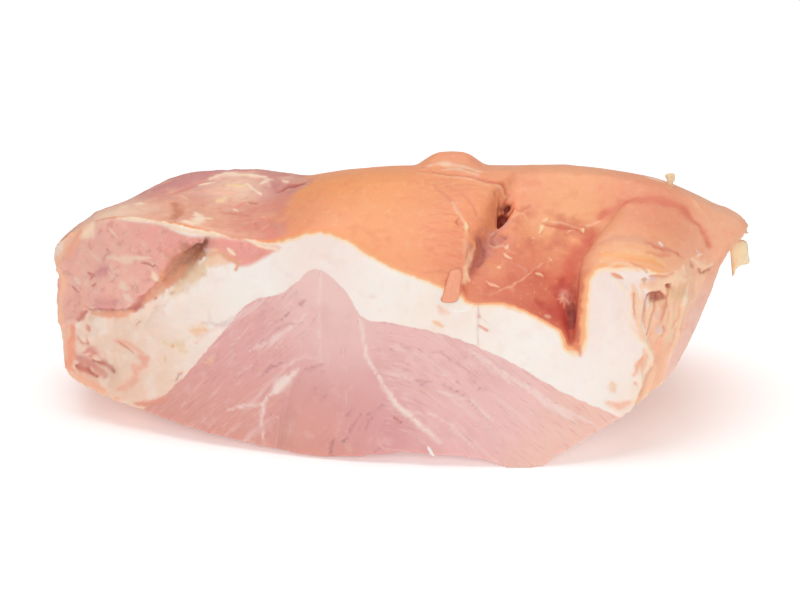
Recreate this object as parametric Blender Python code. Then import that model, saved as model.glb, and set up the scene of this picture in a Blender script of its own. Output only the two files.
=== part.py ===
"""Smoked pork knuckle: a boneless end piece with its rind on, cut lengthwise down the front.

The whole piece is first shaped as one body: a ball is drawn out to the plan outline and to the heights
of the top and the underside, evened out by a remesh, and then trimmed by the knife face, by the slit
beside the end muscle and by the flat it rests on.  After that it is parted along the seams that show on
the cut face: the main muscle, the end muscle, and the fat with its rind, which wraps over both.

All sizes are millimetres until the very last step, which turns them into metres and moves the origin to
the middle of the underside.
"""

import math

import bmesh
import bpy
import numpy as np

# ---------------------------------------------------------------- driving dimensions, in millimetres

MM = 0.001
HALF_LENGTH = 104.0        # from the middle to the left end, and nearly to the tip
PLAN_CENTRE = (0.4, 54.0)
BACK_DEPTH = 61.0          # from the plan centre to the back
FRONT_SPARE = 95.0         # from the plan centre to well past the knife face
LEAST_THICKNESS = 4.0      # at the tip, where the top and the underside meet

# Along the length, left end to right tip: x, rind line at the knife face, crest depth, crest height and
# how full the curve between them is (1 is straight, 2 is a quarter round).
TOP_STATIONS = {
    "left end": (-105.0, 54.0, 46.0, 57.5, 2.0),
    "end muscle": (-88.0, 63.0, 44.0, 63.0, 2.0),
    "shoulder": (-66.0, 64.0, 50.0, 64.6, 2.0),
    "saddle": (-40.0, 61.4, 54.0, 65.4, 1.8),
    "peak": (-20.0, 66.0, 48.0, 72.2, 1.6),
    "dome": (-2.0, 54.6, 45.0, 74.9, 1.5),
    "dome end": (12.0, 48.4, 47.0, 74.4, 1.35),
    "valley": (34.0, 46.2, 50.0, 73.6, 1.15),
    "notch": (52.0, 37.4, 50.0, 74.0, 1.1),
    "roll": (70.0, 35.0, 47.0, 73.3, 1.2),
    "bend": (80.0, 39.0, 46.5, 71.6, 1.25),
    "neck": (90.0, 44.0, 46.0, 68.2, 1.3),
    "tip": (106.0, 54.0, 50.0, 56.0, 1.5),
}
# The underside's edge at the knife face: x and height.
HEEL_STATIONS = {
    "left end": (-105.0, 8.5),
    "left corner": (-90.0, 8.0),
    "left hollow": (-60.0, 3.9),
    "left foot": (-22.0, 0.6),
    "arch": (7.0, 3.4),
    "after the arch": (24.0, 1.8),
    "front foot": (37.5, -2.2),
    "rise": (48.0, 3.8),
    "right corner": (70.0, 15.8),
    "side foot": (80.0, 24.0),
    "side": (88.0, 36.0),
    "under the tip": (98.0, 50.0),
    "tip": (106.0, 56.0),
}
# The left end is waisted: height, and how far the end stands in there.
LEFT_WAIST = {
    "foot": (5.0, 0.4),
    "lower hollow": (14.0, 1.8),
    "hollow": (27.0, 1.5),
    "lower swell": (33.5, -0.3),
    "waist": (41.0, 1.9),
    "upper swell": (47.0, -0.5),
    "shoulder": (56.0, 0.0),
}
LEFT_WAIST_REACH = (-103.0, -86.0)     # it is gone at the second x
OUTLINE_POWER = 2.5        # 2 is an ellipse, more is squarer
BLUNTNESS = 5.0            # the same for the upright outline of the ends
LEFT_BLUNTNESS = 4.0       # more at the left end
BACK_BLUNTNESS = -2.2      # less at the back
BACK_FALL = 0.0088         # how fast the top drops behind the crest, per millimetre
HEEL_FADE = (20.0, 50.0)   # the heel's edge settles onto the flat over this depth, left and right
HEEL_FADE_X = (40.0, 62.0)     # where the one turns into the other
LEFT_KEEL = (-58.0, 0.0052)    # where the underside starts to rise, and how fast
RIGHT_KEEL = (45.0, 0.00033)
FLAT_SINK = 0.6            # the underside lies this far under the flat before the flat is cut

# The roll of rind that stands up beside the valley.
ROLL_EDGE_X = 51.0
ROLL_TURN_Y = 17.0         # from here on its edge runs away to the right
ROLL_TURN_SLOPE = 0.62
ROLL_TOP = 59.0            # height at the knife face
ROLL_ROUND = 6.0           # radius of its shoulder
ROLL_FALL_X = (68.0, 88.0)     # its top drops over this stretch, where the side begins
ROLL_FALL = 6.5
ROLL_FALL_REACH = 24.0     # and the drop fades over this depth
ROLL_SHOULDER = 0.8        # height of its shoulder, as a share of the radius
EDGE_SOFTNESS = 0.8        # half the width over which its edge and the dome's rise

# The dome's free edge, which stands over the valley.
DOME_EDGE_X = 19.0
DOME_TURN_Y = 14.0
DOME_TURN_SLOPE = 0.44
DOME_LIP = 5.5
DOME_LIP_MIDDLE = (30.0, 17.0)   # depth of the highest part of the lip, and its reach
DOME_LIP_FADE = (6.0, 26.0)      # it fades between these distances inside the edge

# The fold across the valley, and the knob of rind behind the dome.
CREASE_Y = 35.0
CREASE_DEPTH = 2.6
CREASE_REACH = 5.0
CREASE_SPAN = (30.0, 58.0)
CREASE_ENDS = 6.0
KNOB = (15.5, 61.0, 8.4, 7.5, 4.6)   # x, y, half width, half depth, height
BACK_MUSCLE = (-56.0, 77.0, 23.5, 17.0, 6.8)   # the same for the muscle behind the end muscle

# The knife face: bowed along its length and leaning back with height.
FACE_MIDDLE_X = 30.0
FACE_BOW = 0.0023
FACE_LEAN = 0.18
SIDE_START_X = 71.0        # past here the front turns away as the skinned right side
SIDE_BOW = 0.0235
END_BULGE = (-84.0, 47.0, 19.0, 13.0, 4.0)   # the end muscle swells out: x, z, half sizes, how far
FACE_FRONT = -60.0
KNIFE_FRONT = -100.0
KNIFE_HEIGHTS = (-20.0, 110.0)

# The slit between the end muscle and the fat: two ends on the face, its width and its depth.
SLIT_FROM = (-57.5, 59.0)
SLIT_TO = (-69.5, 46.5)
SLIT_WIDTH = 6.0
SLIT_DEPTH = 11.0
SLIT_RUN_OUT = 3.0         # it runs this far past both ends

# Seams on the knife face: x and height.
LEAN_LINE = {
    "low left": (-88.0, -2.0),
    "left": (-66.0, 17.0),
    "left slope": (-53.0, 33.0),
    "left shoulder": (-45.0, 43.5),
    "under the peak": (-34.0, 48.6),
    "apex": (-24.0, 55.5),
    "step": (-15.0, 50.0),
    "step foot": (-11.0, 43.4),
    "shelf": (-3.0, 41.6),
    "middle": (10.0, 39.4),
    "right": (26.0, 34.0),
    "right slope": (46.0, 22.8),
    "low right": (64.0, 14.0),
    "end": (84.0, 4.0),
}
END_LINE = {
    "left end": (-106.0, 22.0),
    "left corner": (-97.0, 29.0),
    "left": (-89.0, 36.5),
    "middle": (-77.0, 39.0),
    "slope": (-67.0, 48.0),
    "slit": (-57.0, 58.5),
    "tongue": (-46.0, 57.0),
    "end": (-34.0, 61.0),
}
LEAN_FOLLOWS_TOP = 0.80    # how far the muscle rises where the top rises
LEAN_FLAT_LEFT = (-60.0, 2.0)  # left of this x it rises by no more than this
LEAN_LEFT_X = -86.0
LEAN_RIGHT_X = 67.0
LEAN_BACK_FAT = 10.0
END_MUSCLE_X = -37.0       # right edge of the end muscle where it meets the rind
END_MUSCLE_SLOPE = 0.18
END_MUSCLE_FRONT = (20.0, 45.0)    # depth and height at the knife face from which these slopes run
END_MUSCLE_DIP = 0.34      # its underside falls with depth
SEAM = 4.5                 # least thickness of fat between the two muscles
SEAM_RELEASE = 40.0        # past the end muscle the main muscle may rise by this much
RELEASE_REACH = (1.0, 10.0)
GAP = 0.35                 # clearance between neighbouring pieces

# The scrap of fat that hangs under the tip.
SCRAP_CENTRE = (101.6, 46.5, 49.0)
SCRAP_SIZE = (3.1, 1.9, 5.6)
SCRAP_TAPER = 0.25         # how much narrower it is at its foot
SCRAP_BEND = 1.2
SCRAP_SLANT = 0.4

REMESH = 1.7
BODY_TRIANGLES = 5700
GRID_STEP = 5.5
SEAM_STEP = 4.0
REACH = 150.0              # cutters run this far past the body
PAST_END = 112.0
BELOW_FLAT = -30.0
SHARP_ANGLE = 40.0         # in degrees: sharper edges stay crisp


# ---------------------------------------------------------------- curves and surfaces

def through(stations, x, column=1):
    """Smooth curve through the stations' values at x."""
    rows = sorted(stations.values())
    knots = np.array([row[0] for row in rows])
    values = np.array([row[column] for row in rows])
    slopes = np.gradient(values, knots)
    x = np.clip(x, knots[0], knots[-1])
    i = np.clip(np.searchsorted(knots, x) - 1, 0, len(knots) - 2)
    width = knots[i + 1] - knots[i]
    t = (x - knots[i]) / width
    rise = t * t * (3 - 2 * t)
    start = t * (1 - t) ** 2 * width * slopes[i]
    finish = t * t * (t - 1) * width * slopes[i + 1]
    return values[i] * (1 - rise) + values[i + 1] * rise + start + finish


def ease(value, low, high):
    """0 below low, 1 above high, smooth between."""
    t = np.clip((value - low) / (high - low), 0, 1)
    return t * t * (3 - 2 * t)


def hump(distance, reach):
    return np.exp(-(distance / reach) ** 2)


def hinge(value, softness):
    """value where it is positive and 0 where it is negative, with a soft bend."""
    return softness * np.logaddexp(0, value / softness)


def knife(x, z):
    """Depth of the front surface: the knife face, and past it the skinned right side."""
    bow = FACE_BOW * (x - FACE_MIDDLE_X) ** 2
    side = SIDE_BOW * np.maximum(x - SIDE_START_X, 0) ** 2
    bx, bz, half_x, half_z, swell = END_BULGE
    bulge = swell * np.exp(-((x - bx) / half_x) ** 2 - ((z - bz) / half_z) ** 2)
    return bow + side + FACE_LEAN * z - bulge


def roll_edge(y):
    return ROLL_EDGE_X + ROLL_TURN_SLOPE * hinge(y - ROLL_TURN_Y, 1.5)


def dome_edge(y):
    return DOME_EDGE_X + DOME_TURN_SLOPE * hinge(y - DOME_TURN_Y, 1.5)


def climb(rim, x, y):
    """Height of the top between a rim at the knife face and the crest, and its fall behind the crest."""
    crest_y = through(TOP_STATIONS, x, 2)
    crest_z = through(TOP_STATIONS, x, 3)
    fullness = through(TOP_STATIONS, x, 4)
    face = knife(x, rim)
    t = np.clip((y - face) / (crest_y - face), 0, 1)
    curve = (1 - (1 - t) ** fullness) ** (1 / fullness)
    behind = np.maximum(y - crest_y, 0)
    return rim + (crest_z - rim) * curve - BACK_FALL * behind ** 2


def floor_top(x, y):
    """The top without the roll and the lip."""
    return climb(through(TOP_STATIONS, x, 1), x, y)


def top(x, y):
    """The whole top surface."""
    height = floor_top(x, y)
    lip_y, lip_reach = DOME_LIP_MIDDLE
    inside_dome = dome_edge(y) - x
    lip = DOME_LIP * hump(y - lip_y, lip_reach) * ease(inside_dome, -EDGE_SOFTNESS, EDGE_SOFTNESS)
    height = height + lip * (1 - ease(inside_dome, *DOME_LIP_FADE))
    left, right = CREASE_SPAN
    span = ease(x, left, left + CREASE_ENDS) * (1 - ease(x, right - CREASE_ENDS, right))
    height = height - CREASE_DEPTH * span * hump(y - CREASE_Y, CREASE_REACH)
    kx, ky, half_x, half_y, rise = KNOB
    knob = rise * np.exp(-(((x - kx) / half_x) ** 4) - (((y - ky) / half_y) ** 2))
    mx, my, half_x, half_y, rise = BACK_MUSCLE
    muscle = rise * np.exp(-(((x - mx) / half_x) ** 4) - (((y - my) / half_y) ** 2))
    height = height + knob + muscle
    past_edge = x - roll_edge(y)
    shoulder = np.clip(1 - past_edge / ROLL_ROUND, 0, 1)
    sunk = ROLL_ROUND * (1 - np.sqrt(1 - shoulder ** 2)) * ROLL_SHOULDER
    from_face = y - knife(x, ROLL_TOP)
    fall = ROLL_FALL * ease(x, *ROLL_FALL_X) * (1 - ease(from_face, 0, ROLL_FALL_REACH))
    roll = np.maximum(climb(ROLL_TOP + 0 * x, x, y) - sunk - fall, height)
    return height + (roll - height) * ease(past_edge, -EDGE_SOFTNESS, EDGE_SOFTNESS)


def underside(x, y):
    """Height of the bottom before the flat is cut."""
    heel = through(HEEL_STATIONS, x)
    keel = LEFT_KEEL[1] * np.maximum(LEFT_KEEL[0] - x, 0) ** 2
    keel = keel + RIGHT_KEEL[1] * np.maximum(x - RIGHT_KEEL[0], 0) ** 3
    fade = HEEL_FADE[0] + (HEEL_FADE[1] - HEEL_FADE[0]) * ease(x, *HEEL_FADE_X)
    settle = ease(y - knife(x, heel), 0, fade)
    return heel + (keel - heel) * settle - FLAT_SINK * settle


def left_waist(x, z):
    """How far the left end stands in."""
    return through(LEFT_WAIST, z) * (1 - ease(x, *LEFT_WAIST_REACH))


# ---------------------------------------------------------------- mesh helpers

def make_object(name, bm):
    mesh = bpy.data.meshes.new(name)
    bm.to_mesh(mesh)
    bm.free()
    obj = bpy.data.objects.new(name, mesh)
    bpy.context.scene.collection.objects.link(obj)
    return obj


def points_of(obj):
    flat = np.empty(len(obj.data.vertices) * 3)
    obj.data.vertices.foreach_get("co", flat)
    return flat.reshape(-1, 3)


def move_points(obj, points):
    obj.data.vertices.foreach_set("co", np.ascontiguousarray(points).ravel())
    obj.data.update()


def settle_modifiers(obj):
    """Turn the object's modifiers into its mesh."""
    seen = obj.evaluated_get(bpy.context.evaluated_depsgraph_get())
    mesh = bpy.data.meshes.new_from_object(seen)
    old = obj.data
    obj.modifiers.clear()
    obj.data = mesh
    mesh.name = obj.name
    bpy.data.meshes.remove(old)


def combine(obj, other, operation):
    cut = obj.modifiers.new(operation.title(), "BOOLEAN")
    cut.operation = operation
    cut.object = other
    settle_modifiers(obj)


def copy_of(obj, name):
    twin = obj.copy()
    twin.data = obj.data.copy()
    twin.name = name
    bpy.context.scene.collection.objects.link(twin)
    return twin


def swollen(obj):
    """A copy grown all round by the gap."""
    shell = copy_of(obj, "swollen " + obj.name)
    swell = shell.modifiers.new("Clearance", "DISPLACE")
    swell.strength = GAP
    swell.mid_level = 0.0
    settle_modifiers(shell)
    return shell


def discard(*objects):
    for obj in objects:
        bpy.data.objects.remove(obj)


def grid_solid(name, u_values, v_values, near, far):
    """Closed solid between two sheets over the same grid; near and far give a point for (u, v)."""
    bm = bmesh.new()
    sheets = []
    for place in (near, far):
        sheets.append([[bm.verts.new(place(u, v)) for v in v_values] for u in u_values])
    rows, columns = len(u_values), len(v_values)
    for i in range(rows - 1):
        for j in range(columns - 1):
            for sheet in sheets:
                bm.faces.new((sheet[i][j], sheet[i + 1][j], sheet[i + 1][j + 1], sheet[i][j + 1]))
    border = [(i, 0) for i in range(rows)] + [(rows - 1, j) for j in range(1, columns)]
    border += [(i, columns - 1) for i in range(rows - 2, -1, -1)]
    border += [(0, j) for j in range(columns - 2, 0, -1)]
    for (i, j), (m, n) in zip(border, border[1:] + border[:1]):
        bm.faces.new((sheets[0][i][j], sheets[0][m][n], sheets[1][m][n], sheets[1][i][j]))
    bmesh.ops.recalc_face_normals(bm, faces=bm.faces)
    bmesh.ops.triangulate(bm, faces=bm.faces)
    return make_object(name, bm)


def steps(low, high, step):
    return np.linspace(low, high, max(2, int(round((high - low) / step)) + 1))


# ---------------------------------------------------------------- the whole body

def plan_radius(cosine, sine):
    """Distance from the plan centre to the outline, along a direction."""
    depth = np.where(sine > 0, BACK_DEPTH, FRONT_SPARE)
    total = np.abs(cosine / HALF_LENGTH) ** OUTLINE_POWER + np.abs(sine / depth) ** OUTLINE_POWER
    return total ** (-1 / OUTLINE_POWER)


def shape_body():
    """A ball drawn out to the plan outline, the top and the underside."""
    bm = bmesh.new()
    bmesh.ops.create_icosphere(bm, subdivisions=7, radius=1.0)
    body = make_object("body", bm)
    nx, ny, nz = points_of(body).T
    r = np.clip(np.hypot(nx, ny), 0, 1)
    turn = np.arctan2(ny, nx)
    cosine, sine = np.cos(turn), np.sin(turn)
    radius = plan_radius(cosine, sine)
    x = PLAN_CENTRE[0] + r * radius * cosine
    y = PLAN_CENTRE[1] + r * radius * sine
    left_end = LEFT_BLUNTNESS * np.maximum(-cosine, 0) ** 2
    bluntness = BLUNTNESS + left_end + BACK_BLUNTNESS * np.maximum(sine, 0)
    fill = (1 - r ** bluntness) ** (1 / bluntness)
    over = top(x, y)
    under = np.minimum(underside(x, y), over - LEAST_THICKNESS)
    waist = (over + under) / 2
    z = waist + (over - waist) * fill * np.where(nz > 0, 1, -1)
    move_points(body, np.stack((x + left_waist(x, z), y, z), 1))
    remesh = body.modifiers.new("Even mesh", "REMESH")
    remesh.mode = "VOXEL"
    remesh.voxel_size = REMESH
    smooth = body.modifiers.new("Soften", "SMOOTH")
    smooth.factor = 0.5
    smooth.iterations = 2
    settle_modifiers(body)
    thin = body.modifiers.new("Fewer faces", "DECIMATE")
    triangles = sum(len(face.vertices) - 2 for face in body.data.polygons)
    thin.ratio = BODY_TRIANGLES / triangles
    settle_modifiers(body)
    return body


def cut_front(body):
    """The knife face and the skinned right side."""
    x_values = steps(-REACH, REACH, GRID_STEP)
    z_values = steps(*KNIFE_HEIGHTS, GRID_STEP)

    def face(x, z):
        return (x, float(knife(x, z)), z)

    def front(x, z):
        return (x, KNIFE_FRONT, z)

    cutter = grid_solid("knife", x_values, z_values, face, front)
    combine(body, cutter, "DIFFERENCE")
    discard(cutter)


def cut_slit(body):
    """A narrow wedge that sinks in beside the end muscle."""
    ax, az = SLIT_FROM
    bx, bz = SLIT_TO
    length = math.hypot(bx - ax, bz - az)
    bm = bmesh.new()
    bmesh.ops.create_icosphere(bm, subdivisions=3, radius=1.0)
    wedge = make_object("slit", bm)
    points = points_of(wedge) * (length / 2 + SLIT_RUN_OUT, SLIT_DEPTH, SLIT_WIDTH / 2)
    turn = math.atan2(bz - az, bx - ax)
    x = (ax + bx) / 2 + points[:, 0] * math.cos(turn) - points[:, 2] * math.sin(turn)
    z = (az + bz) / 2 + points[:, 0] * math.sin(turn) + points[:, 2] * math.cos(turn)
    y = points[:, 1] + float(knife((ax + bx) / 2, (az + bz) / 2))
    move_points(wedge, np.stack((x, y, z), 1))
    combine(body, wedge, "DIFFERENCE")
    discard(wedge)


def cut_flat(body):
    """The flat it rests on."""
    bm = bmesh.new()
    bmesh.ops.create_cube(bm, size=1.0)
    bmesh.ops.scale(bm, verts=bm.verts, vec=(2 * REACH, 2 * REACH, -BELOW_FLAT))
    bmesh.ops.translate(bm, verts=bm.verts, vec=(0, PLAN_CENTRE[1], BELOW_FLAT / 2))
    block = make_object("table", bm)
    combine(body, block, "DIFFERENCE")
    discard(block)


# ---------------------------------------------------------------- the seams

def end_muscle_right(y):
    """Right edge of the end muscle."""
    return END_MUSCLE_X + END_MUSCLE_SLOPE * (y - END_MUSCLE_FRONT[0])


def end_seam(x, y):
    """Underside of the end muscle."""
    return through(END_LINE, x) - END_MUSCLE_DIP * np.maximum(y - knife(x, END_MUSCLE_FRONT[1]), 0)


def lean_seam(x, y):
    """Upper side of the main muscle."""
    line = through(LEAN_LINE, x)
    rise = LEAN_FOLLOWS_TOP * (floor_top(x, y) - through(TOP_STATIONS, x, 1))
    flat_left, most = LEAN_FLAT_LEFT
    over = line + np.where(x < flat_left, np.minimum(rise, most), rise)
    past_end = x - end_muscle_right(y)
    under_end = end_seam(x, y) - SEAM
    return np.minimum(over, under_end + SEAM_RELEASE * ease(past_end, *RELEASE_REACH))


def main_muscle_mass():
    """Everything under the lean seam, and short of the right end and the back."""
    x_values = steps(LEAN_LEFT_X, LEAN_RIGHT_X, SEAM_STEP)
    shares = np.linspace(0, 1, 19)

    def depth(x, share):
        back = PLAN_CENTRE[1] + float(plan_back(x)) - LEAN_BACK_FAT
        return FACE_FRONT + (back - FACE_FRONT) * share

    def upper(x, share):
        y = depth(x, share)
        return (x, y, max(float(lean_seam(x, y)), BELOW_FLAT / 2))

    def lower(x, share):
        return (x, depth(x, share), BELOW_FLAT)

    return grid_solid("main mass", x_values, shares, upper, lower)


def plan_back(x):
    """Depth of the back outline behind the plan centre."""
    share = np.clip(np.abs(x - PLAN_CENTRE[0]) / HALF_LENGTH, 0, 1)
    return BACK_DEPTH * (1 - share ** OUTLINE_POWER) ** (1 / OUTLINE_POWER)


def end_muscle_mass():
    """Everything over the end seam, left of the rind."""
    shares = np.linspace(0, 1, 25)
    y_values = steps(FACE_FRONT, REACH, GRID_STEP)

    def across(share, y):
        return -PAST_END + (end_muscle_right(y) + PAST_END) * share

    def lower(share, y):
        x = across(share, y)
        return (x, y, float(end_seam(x, y)))

    def upper(share, y):
        return (across(share, y), y, PAST_END)

    return grid_solid("end mass", shares, y_values, lower, upper)


# ---------------------------------------------------------------- pieces

def keep_largest(obj):
    """Drop slivers that the seams leave behind."""
    bm = bmesh.new()
    bm.from_mesh(obj.data)
    left = set(bm.faces)
    groups = []
    while left:
        group = {left.pop()}
        front = list(group)
        while front:
            for edge in front.pop().edges:
                for face in edge.link_faces:
                    if face in left:
                        left.remove(face)
                        group.add(face)
                        front.append(face)
        groups.append(group)
    groups.sort(key=lambda group: sum(face.calc_area() for face in group))
    spare = [face for group in groups[:-1] for face in group]
    bmesh.ops.delete(bm, geom=spare, context="FACES")
    bm.to_mesh(obj.data)
    bm.free()


def part_pieces(body):
    """Part the body along its seams."""
    fat = copy_of(body, "fat_and_rind")
    main = copy_of(body, "main_muscle")
    end = copy_of(body, "end_muscle")
    discard(body)
    for muscle, mass in ((main, main_muscle_mass), (end, end_muscle_mass)):
        inner = mass()
        outer = swollen(inner)
        combine(muscle, inner, "INTERSECT")
        combine(fat, outer, "DIFFERENCE")
        discard(inner, outer)
    for obj in (fat, main, end):
        keep_largest(obj)
    return [fat, main, end]


def hanging_scrap():
    """A soft tongue of fat under the tip."""
    bm = bmesh.new()
    bmesh.ops.create_icosphere(bm, subdivisions=3, radius=1.0)
    scrap = make_object("fat_scrap", bm)
    points = points_of(scrap)
    x, y, z = points.T
    long, deep, tall = SCRAP_SIZE
    narrow = 1 - SCRAP_TAPER * np.clip(-z, 0, 1)
    shaped_x = x * narrow * long + SCRAP_SLANT * z
    shaped_y = y * deep - SCRAP_BEND * z * z
    move_points(scrap, np.stack((shaped_x, shaped_y, z * tall), 1) + SCRAP_CENTRE)
    return scrap


def clear_of(obj, other):
    """Keep the gap between a small piece and a big one."""
    shell = swollen(other)
    combine(obj, shell, "DIFFERENCE")
    discard(shell)
    keep_largest(obj)


# ---------------------------------------------------------------- materials

def srgb(hex_colour):
    channels = [int(hex_colour[i:i + 2], 16) / 255 for i in (0, 2, 4)]
    return [c / 12.92 if c <= 0.04045 else ((c + 0.055) / 1.055) ** 2.4 for c in channels] + [1.0]


def paint(obj, name, hex_colour, roughness):
    material = bpy.data.materials.new(name)
    material.use_nodes = True
    shader = material.node_tree.nodes["Principled BSDF"]
    shader.inputs["Base Color"].default_value = srgb(hex_colour)
    shader.inputs["Roughness"].default_value = roughness
    shader.inputs["Metallic"].default_value = 0.0
    obj.data.materials.clear()
    obj.data.materials.append(material)


def finish(objects):
    """Metres, and the origin in the middle of the underside."""
    clouds = [points_of(obj) for obj in objects]
    low = np.min([cloud.min(0) for cloud in clouds], 0)
    high = np.max([cloud.max(0) for cloud in clouds], 0)
    origin = np.array(((low[0] + high[0]) / 2, (low[1] + high[1]) / 2, low[2]))
    for obj, cloud in zip(objects, clouds):
        move_points(obj, (cloud - origin) * MM)
        obj.data.shade_smooth()
        obj.data.set_sharp_from_angle(angle=math.radians(SHARP_ANGLE))


def main():
    for obj in list(bpy.data.objects):
        bpy.data.objects.remove(obj)
    body = shape_body()
    cut_front(body)
    cut_slit(body)
    cut_flat(body)
    scrap = hanging_scrap()
    clear_of(scrap, body)
    fat, main_muscle, end_muscle = part_pieces(body)
    paint(fat, "back fat under smoked rind", "F2A880", 0.42)
    paint(main_muscle, "cured lean", "DFA9A4", 0.40)
    paint(end_muscle, "cured end muscle", "DBA095", 0.42)
    paint(scrap, "fat scrap", "F3D3AC", 0.45)
    finish([fat, main_muscle, end_muscle, scrap])


main()
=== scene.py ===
import math

import bmesh
import bpy
import numpy as np
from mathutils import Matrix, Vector, kdtree
from mathutils.bvhtree import BVHTree


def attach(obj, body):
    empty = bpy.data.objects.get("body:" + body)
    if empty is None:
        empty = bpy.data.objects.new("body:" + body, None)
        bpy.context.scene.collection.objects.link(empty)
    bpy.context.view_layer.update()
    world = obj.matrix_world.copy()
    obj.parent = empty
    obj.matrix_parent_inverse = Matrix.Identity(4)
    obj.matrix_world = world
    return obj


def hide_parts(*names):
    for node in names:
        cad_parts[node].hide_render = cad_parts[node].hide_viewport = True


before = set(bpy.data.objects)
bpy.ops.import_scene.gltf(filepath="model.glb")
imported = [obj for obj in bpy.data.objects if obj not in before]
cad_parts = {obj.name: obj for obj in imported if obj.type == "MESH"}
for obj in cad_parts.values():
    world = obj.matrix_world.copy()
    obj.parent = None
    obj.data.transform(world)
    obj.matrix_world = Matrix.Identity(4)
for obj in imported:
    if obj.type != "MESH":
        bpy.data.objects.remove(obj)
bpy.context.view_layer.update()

mm = 0.001
origin = np.array((0.55, 57.54, 0.0))   # the frame's origin, in the millimetres used for shaping below


def through(stations, x, column=1):
    rows = sorted(stations.values())
    knots = np.array([row[0] for row in rows])
    values = np.array([row[column] for row in rows])
    slopes = np.gradient(values, knots)
    x = np.clip(x, knots[0], knots[-1])
    i = np.clip(np.searchsorted(knots, x) - 1, 0, len(knots) - 2)
    width = knots[i + 1] - knots[i]
    t = (x - knots[i]) / width
    rise = t * t * (3 - 2 * t)
    start = t * (1 - t) ** 2 * width * slopes[i]
    finish = t * t * (t - 1) * width * slopes[i + 1]
    return values[i] * (1 - rise) + values[i + 1] * rise + start + finish


def ease(value, low, high):
    t = np.clip((value - low) / (high - low), 0, 1)
    return t * t * (3 - 2 * t)


def hump(distance, reach):
    return np.exp(-(distance / reach) ** 2)


def hinge(value, softness):
    return softness * np.logaddexp(0, value / softness)


def lattice(ix, iy, iz, seed):
    n = (ix * 73856093 ^ iy * 19349663 ^ iz * 83492791 ^ (seed + 11) * 2654435761) & 0xFFFFFFFF
    n = ((n ^ (n >> 15)) * 2246822519) & 0xFFFFFFFF
    n = ((n ^ (n >> 13)) * 3266489917) & 0xFFFFFFFF
    return ((n ^ (n >> 16)) & 0xFFFF) / 32767.5 - 1


def noise(x, y, z, cell, seed=0):
    # smooth value noise from -1 to 1; cell is the size of its blobs in mm
    p = [np.asarray(v, float) / cell + 4096.0 for v in (x, y, z)]
    base = [np.floor(v).astype(np.int64) for v in p]
    f = [v - b for v, b in zip(p, base)]
    f = [v * v * v * (v * (v * 6 - 15) + 10) for v in f]
    total = 0
    for dx in (0, 1):
        for dy in (0, 1):
            for dz in (0, 1):
                weight = (f[0] if dx else 1 - f[0]) * (f[1] if dy else 1 - f[1]) * (f[2] if dz else 1 - f[2])
                total = total + weight * lattice(base[0] + dx, base[1] + dy, base[2] + dz, seed)
    return total


def fractal(x, y, z, cell, octaves=3, seed=0):
    total, size, weight = 0, cell, 1.0
    for octave in range(octaves):
        total = total + weight * noise(x, y, z, size, seed + octave * 17)
        size, weight = size / 2, weight / 2
    return total / (2 - 2 ** (1 - octaves))


def ridges(x, y, z, cell, octaves=3, seed=0):
    # sharp crests, 0 to 1, as torn tissue and wrinkled skin have
    total, size, weight, whole = 0, cell, 1.0, 0
    for octave in range(octaves):
        total = total + weight * (1 - np.abs(noise(x, y, z, size, seed + octave * 29))) ** 2
        whole, size, weight = whole + weight, size / 2, weight / 2
    return total / whole


def nearLine(points, u, v):
    # distance from (u, v) to a line of points, and how far along it, 0 to 1
    best = np.full(np.shape(u), 1e9)
    along = np.zeros(np.shape(u))
    lengths = [math.dist(a, b) for a, b in zip(points, points[1:])]
    done = 0.0
    for (au, av), (bu, bv), length in zip(points, points[1:], lengths):
        t = np.clip(((u - au) * (bu - au) + (v - av) * (bv - av)) / length ** 2, 0, 1)
        d = np.hypot(u - au - t * (bu - au), v - av - t * (bv - av))
        along = np.where(d < best, (done + t * length) / sum(lengths), along)
        best = np.minimum(best, d)
        done += length
    return best, along


def pointsOf(mesh):
    flat = np.empty(len(mesh.vertices) * 3)
    mesh.vertices.foreach_get("co", flat)
    return flat.reshape(-1, 3)


def normalsOf(mesh):
    flat = np.empty(len(mesh.vertices) * 3)
    mesh.vertices.foreach_get("normal", flat)
    return flat.reshape(-1, 3)


def setPoints(mesh, points):
    mesh.vertices.foreach_set("co", np.ascontiguousarray(points).ravel())
    mesh.update()


def newObject(name, bm):
    mesh = bpy.data.meshes.new(name)
    bm.to_mesh(mesh)
    bm.free()
    obj = bpy.data.objects.new(name, mesh)
    bpy.context.scene.collection.objects.link(obj)
    return obj


def applyModifiers(obj):
    seen = obj.evaluated_get(bpy.context.evaluated_depsgraph_get())
    mesh = bpy.data.meshes.new_from_object(seen)
    old = obj.data
    obj.modifiers.clear()
    obj.data = mesh
    bpy.data.meshes.remove(old)


def storeVector(mesh, name, columns):
    layer = mesh.attributes.new(name, "FLOAT_VECTOR", "POINT")
    layer.data.foreach_set("vector", np.stack(columns, 1).astype(np.float32).ravel())


def storeColour(mesh, name, colours):
    layer = mesh.attributes.new(name, "FLOAT_COLOR", "POINT")
    layer.data.foreach_set("color", colours.astype(np.float32).ravel())


def toLinear(hexColour):
    channels = [int(hexColour[i:i + 2], 16) / 255 for i in (0, 2, 4)]
    return [c / 12.92 if c <= 0.04045 else ((c + 0.055) / 1.055) ** 2.4 for c in channels] + [1.0]


view = {
    "target": (-0.5, -12.5, 35.6),     # mm in the frame
    "distance": 1000.0,
    "elevation": 20.0,
    "lens": 150.0,
    "sensor": 36.0,
    "width": 800,                      # pixels
    "height": 600,
}


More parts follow.
